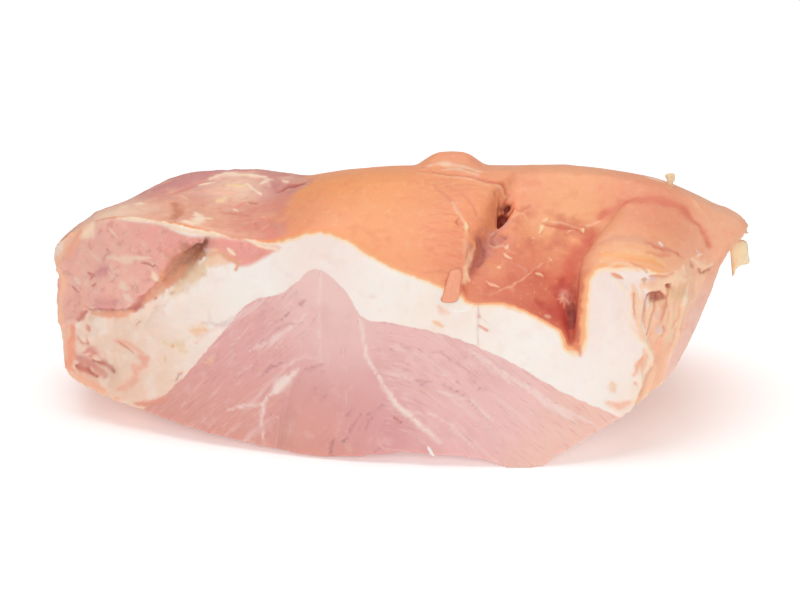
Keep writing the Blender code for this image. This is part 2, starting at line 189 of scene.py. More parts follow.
def placeCamera():
    camera = bpy.data.cameras.new("camera")
    camera.lens = view["lens"]
    camera.sensor_width = view["sensor"]
    camera.clip_start = 0.02
    camera.clip_end = 20
    obj = bpy.data.objects.new("camera", camera)
    bpy.context.scene.collection.objects.link(obj)
    tilt = math.radians(view["elevation"])
    back = Vector((0, -math.cos(tilt), math.sin(tilt))) * view["distance"]
    obj.location = (Vector(view["target"]) + back) * mm
    obj.rotation_euler = (math.pi / 2 - tilt, 0, 0)
    bpy.context.scene.camera = obj


lamps = {   # position in m, width and height in m, watts, colour
    "overhead": ((-0.05, 0.12, 1.2), 1.3, 1.3, 11.0, "FFFFFF"),
    "front": ((0.15, -1.15, 0.6), 1.1, 0.4, 5.5, "FFFDFC"),
}
roomLight = 0.25


def placeLights():
    for name, (place, width, height, power, colour) in lamps.items():
        light = bpy.data.lights.new(name, "AREA")
        light.shape = "RECTANGLE"
        light.size = width
        light.size_y = height
        light.energy = power
        light.color = toLinear(colour)[:3]
        obj = bpy.data.objects.new(name, light)
        bpy.context.scene.collection.objects.link(obj)
        obj.location = place
        obj.rotation_euler = (Vector((0, 0, 0.03)) - Vector(place)).to_track_quat("-Z", "Y").to_euler()
    world = bpy.data.worlds.new("studio")
    bpy.context.scene.world = world
    world.use_nodes = True
    world.node_tree.nodes["Background"].inputs["Color"].default_value = (1, 1, 1, 1)
    world.node_tree.nodes["Background"].inputs["Strength"].default_value = roomLight
    bpy.context.scene.view_settings.view_transform = "Standard"


def addNode(tree, kind, settings=None, links=None):
    # settings name a node's properties or its sockets; links name a socket and what feeds it
    node = tree.nodes.new(kind)
    for key, value in (settings or {}).items():
        if isinstance(key, str) and hasattr(node, key) and key not in node.inputs:
            setattr(node, key, value)
        else:
            node.inputs[key].default_value = value
    for key, source in (links or {}).items():
        tree.links.new(source, node.inputs[key])
    return node


floorLook = {
    "radius": 2.6,          # m
    "sides": 96,
    "colour": "FBFBFB",
    "roughness": 0.9,
    "specular": 0.1,
    "glow": 0.24,           # keeps the sweep white up to the knuckle
}


def placeFloor():
    bm = bmesh.new()
    bmesh.ops.create_circle(bm, cap_ends=True, segments=floorLook["sides"], radius=floorLook["radius"])
    floor = newObject("floor", bm)
    material = bpy.data.materials.new("whiteSweepPaper")   # matt white paper: no gloss, bright
    material.use_nodes = True
    shader = material.node_tree.nodes["Principled BSDF"]
    shader.inputs["Base Color"].default_value = toLinear(floorLook["colour"])
    shader.inputs["Roughness"].default_value = floorLook["roughness"]
    shader.inputs["Specular IOR Level"].default_value = floorLook["specular"]
    shader.inputs["Emission Color"].default_value = (1, 1, 1, 1)
    shader.inputs["Emission Strength"].default_value = floorLook["glow"]
    floor.data.materials.append(material)


placeCamera()
placeLights()
placeFloor()
print("camera, light and floor are placed")


knuckle = {
    "halfLength": 104.0,
    "planCentre": (0.4, 54.0),
    "backDepth": 61.0,
    "frontSpare": 95.0,
    "leastThickness": 2.6,
    # x, rind line at the knife face, crest depth, crest height, fullness
    "top": {
        "left end": (-105.0, 54.0, 46.0, 57.5, 2.0),
        "end muscle": (-88.0, 63.0, 44.0, 63.0, 2.0),
        "shoulder": (-66.0, 64.0, 50.0, 64.6, 2.0),
        "saddle": (-40.0, 61.4, 54.0, 65.4, 1.8),
        "peak": (-20.0, 66.0, 48.0, 72.2, 1.6),
        "dome": (-2.0, 54.6, 45.0, 74.9, 1.5),
        "dome end": (12.0, 48.4, 47.0, 74.4, 1.35),
        "valley": (34.0, 46.2, 50.0, 73.6, 1.15),
        "notch": (52.0, 37.4, 50.0, 74.0, 1.1),
        "roll": (70.0, 35.0, 47.0, 73.3, 1.2),
        "bend": (80.0, 39.0, 46.5, 71.6, 1.25),
        "neck": (90.0, 44.0, 46.0, 67.6, 1.3),
        "tip's root": (98.0, 53.0, 48.0, 62.0, 1.35),
        "tip": (106.0, 55.5, 50.0, 57.4, 1.5),
    },
    # x and height of the lower edge of the knife face
    "heel": {
        "left end": (-105.0, 8.5),
        "left corner": (-90.0, 8.0),
        "left hollow": (-60.0, 3.9),
        "left foot": (-22.0, 0.6),
        "arch": (7.0, 3.2),
        "after the arch": (24.0, 1.8),
        "front foot": (37.5, -2.2),
        "rise": (48.0, 3.8),
        "right corner": (70.0, 15.8),
        "side foot": (80.0, 24.0),
        "side": (88.0, 36.8),
        "under the tip": (98.0, 55.0),
        "tip": (106.0, 57.5),
    },
    # height, and how far the left end stands in there
    "leftWaist": {
        "foot": (5.0, 0.4),
        "lower hollow": (14.0, 1.8),
        "hollow": (27.0, 1.5),
        "lower swell": (33.5, -0.3),
        "waist": (41.0, 1.9),
        "upper swell": (47.0, -0.5),
        "shoulder": (56.0, 0.0),
    },
    "squareness": 2.5,                  # of the outline seen from above; 2 is an ellipse
    "bluntness": (5, 4, 2.2),           # of the sides: everywhere, more at the left end, less at the back
    "backFall": 0.0088,
    "heelFade": (20.0, 50.0),
    "heelFadeX": (40.0, 62.0),
    "leftKeel": (-58.0, 0.0052),
    "rightKeel": (45.0, 0.00036),
    "rollEdge": (51.0, 17.0, 0.62),      # x, the depth where it turns right, and its slope from there
    "rollTop": 59.0,
    "rollRound": 8.5,
    "rollFall": (68.0, 88.0, 6.5, 24.0),
    "domeEdge": (19.0, 14.0, 0.44),
    "domeLip": (5.5, 30.0, 17.0),        # height, depth of its middle, reach
    "crease": (34.5, 1.5, 7.0, 33.0, 60.0),   # depth, how deep it sinks, reach, from x, to x
    "knob": (15.5, 61.0, 8.4, 7.5, 4.6),
    "backMuscle": (-56.0, 77.0, 23.5, 17.0, 6.8),
    "faceBow": (30.0, 0.0023),
    "faceLean": 0.18,
    "sideBow": (71.0, 0.0235),
    "endBulge": (-84.0, 47.0, 19.0, 13.0, 4.0),
    "voxel": 0.94,
    "triangles": 98000,
    # low and high corners of the parts with finer faces
    "fine": {
        "left end": ((-105.0, 8.0, 6.0), (-58.0, 48.0, 66.0)),
        "tongue": ((-58.0, 10.0, 52.0), (-36.0, 30.0, 66.0)),
        "membranes": ((-80.0, 26.0, 58.0), (-26.0, 68.0, 74.0)),
        "valley": ((10.0, 6.0, 36.0), (52.0, 44.0, 72.0)),
        "crease": ((52.0, 28.0, 48.0), (64.0, 40.0, 72.0)),
        "tear": ((62.0, 4.0, 14.0), (96.0, 32.0, 62.0)),
    },
}

folds = {   # finer than the solids: places and sizes in mm
    "slit": {"line": [(-56.8, 60.8), (-60.5, 56.2), (-65.0, 51.4), (-68.6, 48.0)],
             "width": 6.4, "depth": 6.0},
    "endCrease": {"line": [(-97.0, 31.0), (-94.5, 34.0), (-91.0, 35.4), (-80.5, 36.4), (-75.0, 41.6),
                           (-70.0, 46.6)], "width": 3.0, "depth": 1.5},
    "cavity": {"line": [(-96.8, 19.4), (-92.5, 17.6), (-86.8, 15.8)], "width": 4.2, "depth": 1.5},
    "upperCavity": {"line": [(-92.0, 22.2), (-88.5, 20.6), (-85.6, 18.2)], "width": 3.0, "depth": 1.2},
    "notchSlot": (1.0, 1.5, 5.2, 16.0),     # x past the roll's edge, half width, depth, reach behind the face
    "edgeHole": (1.6, 1.5, 8.0, 36.5, 5.0),   # x past the dome's edge, half width, depth, middle, reach
    "edgeTrough": (3.0, 3.4, 1.6, 22.0, 13.0),
    "tornHoles": [   # x, height, half sizes and depth
        (74.4, 46.8, 2.6, 1.5, 3.2),
        (78.0, 49.4, 1.3, 0.8, 3.0),
        (86.7, 51.9, 1.1, 1.0, 2.4),
        (90.2, 51.1, 1.9, 0.7, 2.4),
    ],
}
grooves = ("slit", "endCrease", "cavity", "upperCavity")


def knifeDepth(x, z):
    middle, bow = knuckle["faceBow"]
    sideStart, sideBow = knuckle["sideBow"]
    bx, bz, halfX, halfZ, swell = knuckle["endBulge"]
    bulge = swell * np.exp(-((x - bx) / halfX) ** 2 - ((z - bz) / halfZ) ** 2)
    side = sideBow * np.maximum(x - sideStart, 0) ** 2
    return bow * (x - middle) ** 2 + side + knuckle["faceLean"] * z - bulge


def tornShare(x, z):
    # 1 inside the torn band beside the fat, 0 outside
    middle = 72.0 + 0.28 * (z - 20)
    half = 3.2 + 0.25 * np.maximum(z - 20, 0)
    ragged = 0.22 * fractal(x, 0 * x, z, 6.0, 3, 71)
    across = 1 - np.abs(x - middle) / half + ragged
    return ease(across, 0, 0.45) * ease(z, 12, 20) * (1 - ease(z, 52, 56))


def cutDepth(x, z):
    # the knife face with what sinks into it
    depth = knifeDepth(x, z)
    slit = folds["slit"]
    off, along = nearLine(slit["line"], x, z)
    width = slit["width"] / 2 * (0.22 + 0.78 * ease(along, 0, 0.75)) * (1 - 0.35 * ease(along, 0.8, 1))
    width = width * (1 + 0.15 * noise(x, 0 * x, z, 3.0, 5))
    steep = 1 - 0.55 * along       # it runs out towards its foot
    depth = depth + slit["depth"] * steep * np.clip(1 - (off / width) ** 2, 0, 1) ** 0.8
    for name in grooves[1:]:
        groove = folds[name]
        off, along = nearLine(groove["line"], x, z)
        wander = 1 + 0.2 * noise(x, 0 * x, z, 5.0, 8)
        depth = depth + groove["depth"] * hump(off, groove["width"] / 2 * wander)
    torn = tornShare(x, z)
    depth = depth + torn * (1.3 + 0.8 * fractal(x * 2.2, 0 * x, z * 0.6, 9.0, 3, 12))
    for hx, hz, halfX, halfZ, sink in folds["tornHoles"]:
        ragged = 1 + 0.35 * noise(x, 0 * x, z, 2.5, 31)
        depth = depth + sink * np.exp(-(((x - hx) / halfX) ** 2 + ((z - hz) / halfZ) ** 2) / ragged)
    return depth


def rollEdge(y):
    x, turn, slope = knuckle["rollEdge"]
    return x + slope * hinge(y - turn, 1.5)


def domeEdge(y):
    x, turn, slope = knuckle["domeEdge"]
    return x + slope * hinge(y - turn, 1.5)


def climb(rim, x, y):
    crestY = through(knuckle["top"], x, 2)
    crestZ = through(knuckle["top"], x, 3)
    fullness = through(knuckle["top"], x, 4)
    face = knifeDepth(x, rim)
    t = np.clip((y - face) / (crestY - face), 0, 1)
    curve = (1 - (1 - t) ** fullness) ** (1 / fullness)
    behind = np.maximum(y - crestY, 0)
    return rim + (crestZ - rim) * curve - knuckle["backFall"] * behind ** 2


def floorTop(x, y):
    return climb(through(knuckle["top"], x, 1), x, y)


def topHeight(x, y):
    height = floorTop(x, y)
    rise, lipY, lipReach = knuckle["domeLip"]
    wander = 0.9 * noise(x, y, 0 * x, 7.0, 41)
    insideDome = domeEdge(y) + wander - x
    lip = rise * hump(y - lipY, lipReach) * ease(insideDome, -0.8, 0.8)
    height = height + lip * (1 - ease(insideDome, 6, 26))
    creaseY, sink, reach, fromX, toX = knuckle["crease"]
    span = ease(x, fromX, fromX + 6) * (1 - ease(x, toX - 6, toX))
    creaseLine = creaseY + 0.8 * noise(x, 0 * x, 0 * x, 9.0, 43)
    height = height - sink * span * hump(y - creaseLine, reach)
    height = height - 0.7 * span * hump(y - creaseLine + 0.8, 1.2)
    kx, ky, halfX, halfY, knobRise = knuckle["knob"]
    height = height + knobRise * np.exp(-(((x - kx) / halfX) ** 4) - (((y - ky) / halfY) ** 2))
    mx, my, halfX, halfY, swell = knuckle["backMuscle"]
    height = height + swell * np.exp(-(((x - mx) / halfX) ** 4) - (((y - my) / halfY) ** 2))
    past, half, sink, reach = folds["notchSlot"]
    fromFace = y - knifeDepth(x, 40 + 0 * x)
    height = height - sink * hump(x - rollEdge(y) + past, half) * (1 - ease(fromFace, 3, reach))
    past, half, sink, middle, reach = folds["edgeHole"]
    height = height - sink * hump(x - domeEdge(y) - wander - past, half) * hump(y - middle, reach)
    past, half, sink, middle, reach = folds["edgeTrough"]
    height = height - sink * hump(x - domeEdge(y) - past, half) * hump(y - middle, reach)
    pastEdge = x - rollEdge(y) - 0.5 * noise(x, y, 0 * x, 6.0, 47)
    shoulder = np.clip(1 - pastEdge / knuckle["rollRound"], 0, 1)
    sunk = knuckle["rollRound"] * (1 - np.sqrt(1 - shoulder ** 2)) * 0.8
    fallFrom, fallTo, drop, dropReach = knuckle["rollFall"]
    fromFace = y - knifeDepth(x, knuckle["rollTop"])
    nearTip = 1 - 0.6 * ease(x, 92, 100)
    fall = drop * ease(x, fallFrom, fallTo) * nearTip * (1 - ease(fromFace, 0, dropReach))
    roll = np.maximum(climb(knuckle["rollTop"] + 0 * x, x, y) - sunk - fall, height)
    return height + (roll - height) * ease(pastEdge, -0.6, 0.6)


def underside(x, y):
    heel = through(knuckle["heel"], x)
    leftX, leftRise = knuckle["leftKeel"]
    rightX, rightRise = knuckle["rightKeel"]
    keel = leftRise * np.maximum(leftX - x, 0) ** 2 + rightRise * np.maximum(x - rightX, 0) ** 3
    low, high = knuckle["heelFade"]
    fade = low + (high - low) * ease(x, *knuckle["heelFadeX"])
    settle = ease(y - knifeDepth(x, heel), 0, fade)
    return heel + (keel - heel) * settle - 0.6 * settle


def leftWaist(x, z):
    return through(knuckle["leftWaist"], z) * (1 - ease(x, -103, -86))


def shapeKnuckle():
    bm = bmesh.new()
    bmesh.ops.create_icosphere(bm, subdivisions=8, radius=1.0)
    body = newObject("smokedKnuckle", bm)
    nx, ny, nz = pointsOf(body.data).T
    r = np.clip(np.hypot(nx, ny), 0, 1)
    turn = np.arctan2(ny, nx)
    cosine, sine = np.cos(turn), np.sin(turn)
    depth = np.where(sine > 0, knuckle["backDepth"], knuckle["frontSpare"])
    square = knuckle["squareness"]
    reach = np.abs(cosine / knuckle["halfLength"]) ** square + np.abs(sine / depth) ** square
    outline = reach ** (-1 / square)
    x = knuckle["planCentre"][0] + r * outline * cosine
    y = knuckle["planCentre"][1] + r * outline * sine
    blunt, leftMore, backLess = knuckle["bluntness"]
    bluntness = blunt + leftMore * np.maximum(-cosine, 0) ** 2 - backLess * np.maximum(sine, 0)
    fill = (1 - r ** bluntness) ** (1 / bluntness)
    over = topHeight(x, y)
    under = np.minimum(underside(x, y), over - knuckle["leastThickness"])
    waist = (over + under) / 2
    z = waist + (over - waist) * fill * np.where(nz > 0, 1, -1)
    x = x + leftWaist(x, z)
    y = np.maximum(y, cutDepth(x, z))
    z = np.maximum(z, 0.0)
    setPoints(body.data, np.stack((x, y, z), 1))
    remesh = body.modifiers.new("even", "REMESH")
    remesh.mode = "VOXEL"
    remesh.voxel_size = knuckle["voxel"]
    smooth = body.modifiers.new("soften", "SMOOTH")
    smooth.factor = 0.5
    smooth.iterations = 2
    applyModifiers(body)
    return body


def thinHiddenSides(body):
    # fewer faces on the back and the underside, which are smooth
    points = pointsOf(body.data)
    normals = normalsOf(body.data)
    hidden = ease(points[:, 1], 66, 84) + ease(-normals[:, 2], 0.55, 0.8)
    group = body.vertex_groups.new(name="thin")
    for level in range(1, 5):
        chosen = np.nonzero(np.round(np.clip(hidden, 0, 1) * 4) == level)[0]
        group.add(chosen.tolist(), level / 4, "REPLACE")
    triangles = sum(len(face.vertices) - 2 for face in body.data.polygons)
    thin = body.modifiers.new("thin", "DECIMATE")
    thin.ratio = min(1.0, knuckle["triangles"] / triangles)
    thin.vertex_group = "thin"
    thin.vertex_group_factor = 5.0
    applyModifiers(body)
    body.vertex_groups.clear()
    print("knuckle:", triangles, "triangles thinned to", len(body.data.polygons))


def refineDetail(body):
    # smaller faces where the torn tissue and the membranes need them
    bm = bmesh.new()
    bm.from_mesh(body.data)
    edges = set()
    for face in bm.faces:
        centre = face.calc_center_median()
        for low, high in knuckle["fine"].values():
            if all(a <= value <= b for a, value, b in zip(low, centre, high)):
                edges.update(face.edges)
    bmesh.ops.subdivide_edges(bm, edges=list(edges), cuts=1, use_grid_fill=True)
    bmesh.ops.triangulate(bm, faces=[face for face in bm.faces if len(face.verts) > 4])
    bm.to_mesh(body.data)
    bm.free()
    triangles = sum(len(face.vertices) - 2 for face in body.data.polygons)
    print("knuckle:", triangles, "triangles with the finer parts")


body = shapeKnuckle()
thinHiddenSides(body)
refineDetail(body)
shapedFaces = [tuple(face.vertices) for face in body.data.polygons]
shapedTree = BVHTree.FromPolygons(pointsOf(body.data).tolist(), shapedFaces)
print("the knuckle is shaped")


relief = {   # cell sizes and heights in mm
    "faceSwell": (14.0, 0.45),
    "lumpSwell": (7.0, 0.95),
    "leftFatSwell": (5.5, 0.55),
    "fibre": (1.5, 0.09),
    "rindSwell": (15.0, 0.35),
    "rindPucker": (4.5, 0.14),
    "membrane": (8.5, 0.65),
    "valleyFold": (9.0, 0.35),
    "tornRidge": (3.0, 0.6),
}

leanTop = {   # x and height of the line between the lean and the fat over it, on the knife face
    "low left": (-88.0, -2.0),
    "left": (-66.0, 17.0),
    "left slope": (-53.0, 33.0),
    "left shoulder": (-45.0, 43.0),
    "under the peak": (-34.0, 48.0),
    "apex": (-24.0, 55.5),
    "step": (-16.0, 50.0),
    "step foot": (-11.0, 43.0),
    "shelf": (-3.0, 41.6),
    "middle": (10.0, 39.4),
    "right": (26.0, 34.0),
    "right slope": (46.0, 22.8),
    "low right": (64.0, 14.0),
    "end": (84.0, 4.0),
}
lumpLow = {   # lower edge of the end muscle and of its tongue past the slit
    "left end": (-106.0, 27.5),
    "left": (-97.5, 29.4),
    "corner": (-94.0, 34.2),
    "middle": (-80.0, 36.9),
    "rise": (-75.0, 42.0),
    "slit foot": (-69.8, 47.0),
    "slit head": (-57.5, 57.8),
    "tongue": (-51.5, 57.3),
    "tongue low": (-46.5, 54.6),
    "tongue end": (-40.5, 57.0),
    "end": (-34.0, 62.0),
}
lumpTop = {   # its upper edge
    "left end": (-106.0, 40.0),
    "left": (-100.0, 50.0),
    "corner": (-95.0, 57.5),
    "top left": (-89.0, 61.4),
    "top": (-79.0, 62.4),
    "top right": (-70.5, 62.6),
    "dip": (-64.0, 60.8),
    "tongue": (-50.0, 61.6),
    "end": (-34.0, 60.0),
}


def surfaceOf(mesh):
    # what each vertex lies on, as a dictionary of arrays
    p = pointsOf(mesh)
    s = {"p": p, "n": normalsOf(mesh), "x": p[:, 0], "y": p[:, 1], "z": p[:, 2]}
    x, y, z = s["x"], s["y"], s["z"]
    s["gap"] = y - cutDepth(x, z)
    inward = y - knifeDepth(x, z)
    fold = np.min([nearLine(folds[name]["line"], x, z)[0] - folds[name]["width"] / 2 for name in grooves], 0)
    inFold = (fold < 2) & (z < through(lumpTop, x)) & (inward < 12)
    s["folded"] = inFold | ((tornShare(x, z) > 0.05) & (inward < 8))
    s["onFace"] = np.maximum(1 - ease(s["gap"], 0.35, 1.3), s["folded"])
    s["torn"] = tornShare(x, z) * s["onFace"]
    s["side"] = s["onFace"] * ease(x - 74.5 - 0.33 * (z - 20), -0.5, 1.5) * (1 - s["torn"])
    line = through(leanTop, x)
    slope = (through(leanTop, x + 0.5) - through(leanTop, x - 0.5))
    s["leanSide"] = (line - z) / np.sqrt(1 + slope ** 2)
    s["slope"] = slope
    s["lumpSide"] = np.minimum(z - through(lumpLow, x), through(lumpTop, x) - z)
    wander = 4.5 * noise(x, y, z, 9.0, 3) + 2.5 * noise(x, y, z, 3.5, 33)
    s["silver"] = (1 - s["onFace"]) * (1 - ease(x + 37.0 - 0.2 * (y - 22) + wander, -6, 6))
    between = ease(x - domeEdge(y), -0.3, 0.8) * (1 - ease(x - rollEdge(y), -0.8, 0.3))
    s["valley"] = (1 - s["onFace"]) * between * (1 - ease(y, 36, 48))
    s["roll"] = (1 - s["onFace"]) * ease(x - rollEdge(y), -0.3, 1.0)
    s["under"] = ease(-s["n"][:, 2], 0.45, 0.8) * (1 - s["onFace"])
    return s


def depthUnderSkin(s):
    # distance in mm from each point of the knife face to the rind round it
    skin = (s["gap"] > 1.1) & (s["gap"] < 9) & (s["n"][:, 2] > -0.25) & (s["z"] > 12) & ~s["folded"]
    skin = np.nonzero(skin)[0]
    tree = kdtree.KDTree(len(skin))
    for i in skin:
        tree.insert(s["p"][i], int(i))
    tree.balance()
    depth = np.zeros(len(s["x"]))
    for i in np.nonzero(s["gap"] <= 1.1)[0]:
        depth[i] = tree.find(s["p"][i])[2]
    x, z = s["x"], s["z"]
    thick = 1.6 + 1.7 * hump(x - 52.5, 4.5) * (1 - ease(z, 56, 61)) + 0.7 * ease(x, 56, 62)
    thick = thick * (1 - 0.8 * (1 - ease(x, -42, -34)))      # only a thin membrane on the left
    return np.maximum(depth - 0.9, 0) / thick


# on the knife face: points as x and height, half width, rise, colour, strength, in the order of drawing.
# None keeps the place of a stroke whose line is among the marks of the whole face
strokes = {
    "seam between the muscles, top": None, "seam between the muscles": None, "marrow-white spot": None,
    "seam under the spot": None, "seam branch": None, "seam under the apex": None,
    "pale fan, left": ([(-60, 30), (-54, 35.6), (-50.5, 36.2), (-45.2, 41.5)], 0.7, 0, "paleLean", 0.7),
    "pale fan, right": ([(-44, 29.5), (-37, 33.5), (-27, 42.3)], 0.6, 0, "paleLean", 0.7),
    "pale fan, low": ([(-35.4, 25.6), (-27.5, 30.2), (-22.7, 29)], 0.6, 0, "paleLean", 0.5),
    "strand, upper": ([(20.3, 34), (26.5, 30.4), (32.5, 24.2)], 0.55, 0.08, "paleLean", 0.8),
    "strand, middle": ([(30, 28.2), (42.1, 19.2), (51.5, 12.8)], 0.75, 0.1, "paleLean", 0.9),
    "strand, low": ([(36.5, 24.6), (46, 17.6), (56.5, 12.2)], 0.55, 0.08, "paleLean", 0.8),
    "strand under the arcs": ([(10, 22.6), (20.8, 19.6), (27.5, 13)], 0.6, 0, "paleLean", 0.7),
    "strand at the seam's foot": ([
        (3.2, 14.8), (9.3, 15.4), (15, 12.4), (22.6, 4.4)], 0.5, 0, "paleLean", 0.7),
    "upper arc": None, "lower arc": None, "short crack, left": None, "short crack, under it": None,
    "crack beside the spot": None,
    "crack right of the spot": ([(-30, 24.6), (-26, 26.6), (-22.6, 28)], 0.4, -0.25, "crack", 0.55),
    "foot crack": ([(-16.6, 5.6), (-14.2, 9.6), (-11.6, 14.4)], 0.45, -0.3, "crack", 0.6),
    "foot crack, right": ([(-11, 8.4), (-8.6, 13.5), (-5, 17.5)], 0.4, -0.25, "crack", 0.5),
    "foot notch": ([(-19.5, 0.8), (-20.4, 3.2), (-19.4, 5.6)], 0.6, -0.7, "crack", 0.9),
    "seam holes": ([(-2.2, 14.4), (0.4, 12.6)], 0.5, -0.4, "redShade", 0.7),
    "fat line": None,
    "fat mark beside it": ([(22.9, 41.4), (25.8, 39.6)], 0.45, -0.2, "pinkFat", 0.8),
    "pillar mark": ([(61.5, 49), (61.8, 40), (62, 33)], 0.3, 0, "greyFat", 0.16),
    "grey mark": None, "grey mark, upright": None,
    "pink streak, low": ([(-79, 8.6), (-72, 10.2), (-69.5, 11.4)], 0.9, -0.2, "pinkFat", 0.9),
    "peach patch": None,
    "peach speck": ([(-57.6, 24.6), (-55, 25.2)], 1.1, 0, "peachFat", 0.7),
    "small fold": ([(-66.6, 17.4), (-65.6, 19.4), (-64.4, 20.2)], 0.35, -0.2, "crack", 0.6),
    "grey seam, left": ([(-76, 33), (-72.6, 37.6), (-68, 42.2), (-62, 46.6)], 0.5, -0.2, "greyFat", 0.3),
    # painted shade: the dark brown deep in the slit stands in for the shade inside it
    "painted shade deep in the slit": ([(-56.6, 59.8), (-59.4, 56.4), (-62.6, 53)], 3, 0, "paintedSlitShade", 0.95),
    "slit's foot": ([(-58.6, 56), (-62.6, 52.8), (-65.6, 49.8), (-68.6, 47.2)], 3.7, 0, "tanHollow", 0.95),
    "beige lip of the slit": ([
        (-53.6, 57.2), (-58, 52.6), (-63, 47.8), (-67.5, 44)], 1.9, 0, "beigeFat", 0.8),
    "notch's rind": ([(48.6, 38.6), (51.6, 34.6), (52.6, 32.4)], 1.1, 0, "notchRind", 0.95),
    "pink spot": None, "beige spot": None,
}

dashes = {   # short splits between fibres: corners of the patch, count, direction in degrees, length, colour
    "shoulder": ((-42, 34), (-25, 49), 26, 42, 3.6, "crack"),
    "slope": ((-58, 18), (-36, 34), 16, 40, 3.0, "crack"),
    "round the spot": ((-40, 12), (-22, 28), 22, 38, 3.0, "crack"),
    "foot": ((-24, 4), (-3, 16), 24, 52, 3.2, "crack"),
    "shelf": ((-4, 22), (24, 36), 22, -14, 4.2, "crack"),
    "right": ((14, 8), (48, 20), 24, -32, 4.6, "paleLean"),
    "right, pale": ((-2, 24), (26, 38), 22, -10, 4.8, "paleLean"),
    "slope, pale": ((-56, 20), (-32, 38), 22, 42, 4.2, "paleLean"),
    "middle, pale": ((-18, 18), (-8, 38), 10, 84, 4.0, "paleLean"),
    "low fat": ((-86, 10), (-60, 34), 26, 25, 3.0, "peachFat"),
    "lump": ((-96, 36), (-72, 60), 26, 20, 2.6, "paleLump"),
    "lump, dark": ((-98, 36), (-74, 58), 5, 30, 1.8, "redShade"),
}


def scatterDashes():
    random = np.random.default_rng(11)
    table = {}
    for name, (low, high, count, turn, length, tone) in dashes.items():
        for i in range(count):
            x, z = random.uniform(low, high)
            half = length * random.uniform(0.3, 0.75)
            angle = math.radians(turn + random.normal(0, 9))
            dx, dz = half * math.cos(angle), half * math.sin(angle)
            line = [(x - dx, z - dz), (x, z + random.normal(0, 0.3)), (x + dx, z + dz)]
            depth = -0.12 if tone in ("crack", "redShade") else 0.04
            table[f"{name} {i}"] = (line, random.uniform(0.16, 0.4), depth, tone, random.uniform(0.25, 0.75))
    return table


topStrokes = {   # on the rind and the membranes: points as x and depth, half width, rise, colour, strength
    "fold behind the dome": ([
        (5.6, 50), (12, 47.5), (19.2, 44.5), (26.6, 41.4), (31.5, 43.5)], 0.8, -0.7, "redShade", 0.4),
    "lip over that fold": ([
        (5, 47.5), (12, 44.8), (19.2, 41.6), (26.4, 38.8), (32, 42.4)], 0.8, 0.35, "paleRind", 0.5),
    "fold on the dome": ([(9.6, 40.5), (14.2, 33), (17, 26), (18.3, 23)], 0.6, -0.25, "salmon", 0.6),
    "second fold on the dome": ([(13.6, 38.4), (19, 32.6), (22.6, 26.8)], 0.6, -0.2, "salmon", 0.5),
    "red arc on the roll": ([
        (59, 36.9), (65, 39), (73.8, 39.2), (82.8, 39.8), (88.7, 37.6), (91.4, 34.6)
    ], 2.2, -0.35, "salmonShade", 0.65),
    "grey arc on the roll": ([
        (55.6, 20.5), (64, 22.6), (72.7, 22), (81.5, 24.4)], 1.7, -0.3, "greyRind", 0.42),
    "bright edge of the roll": ([(58, 15.8), (64, 16.2), (69.5, 15.4), (76, 17.2)], 1.6, 0.2, "amber", 0.6),
    "cream ridge on the roll": ([
        (80.8, 50.6), (84.6, 47.4), (88.2, 43.6), (91.6, 40.8)], 0.45, 0.35, "creamRind", 0.5),
    "cream patch on the neck": ([(73.4, 54.8), (78.6, 53.6)], 1.6, 0.1, "creamEdge", 0.75),
}

windows = {   # parts of the 800 by 600 frame: left, top and enlargement; marks are given in their pixels
    "tear": (600, 225, 7.0),
    "valley": (425, 195, 8.0),
    "left end": (45, 250, 8.0),
    "left top": (50, 165, 6.0),
    "knob": (280, 140, 3.0625),
    "whole face": (0, 0, 1.0),
}

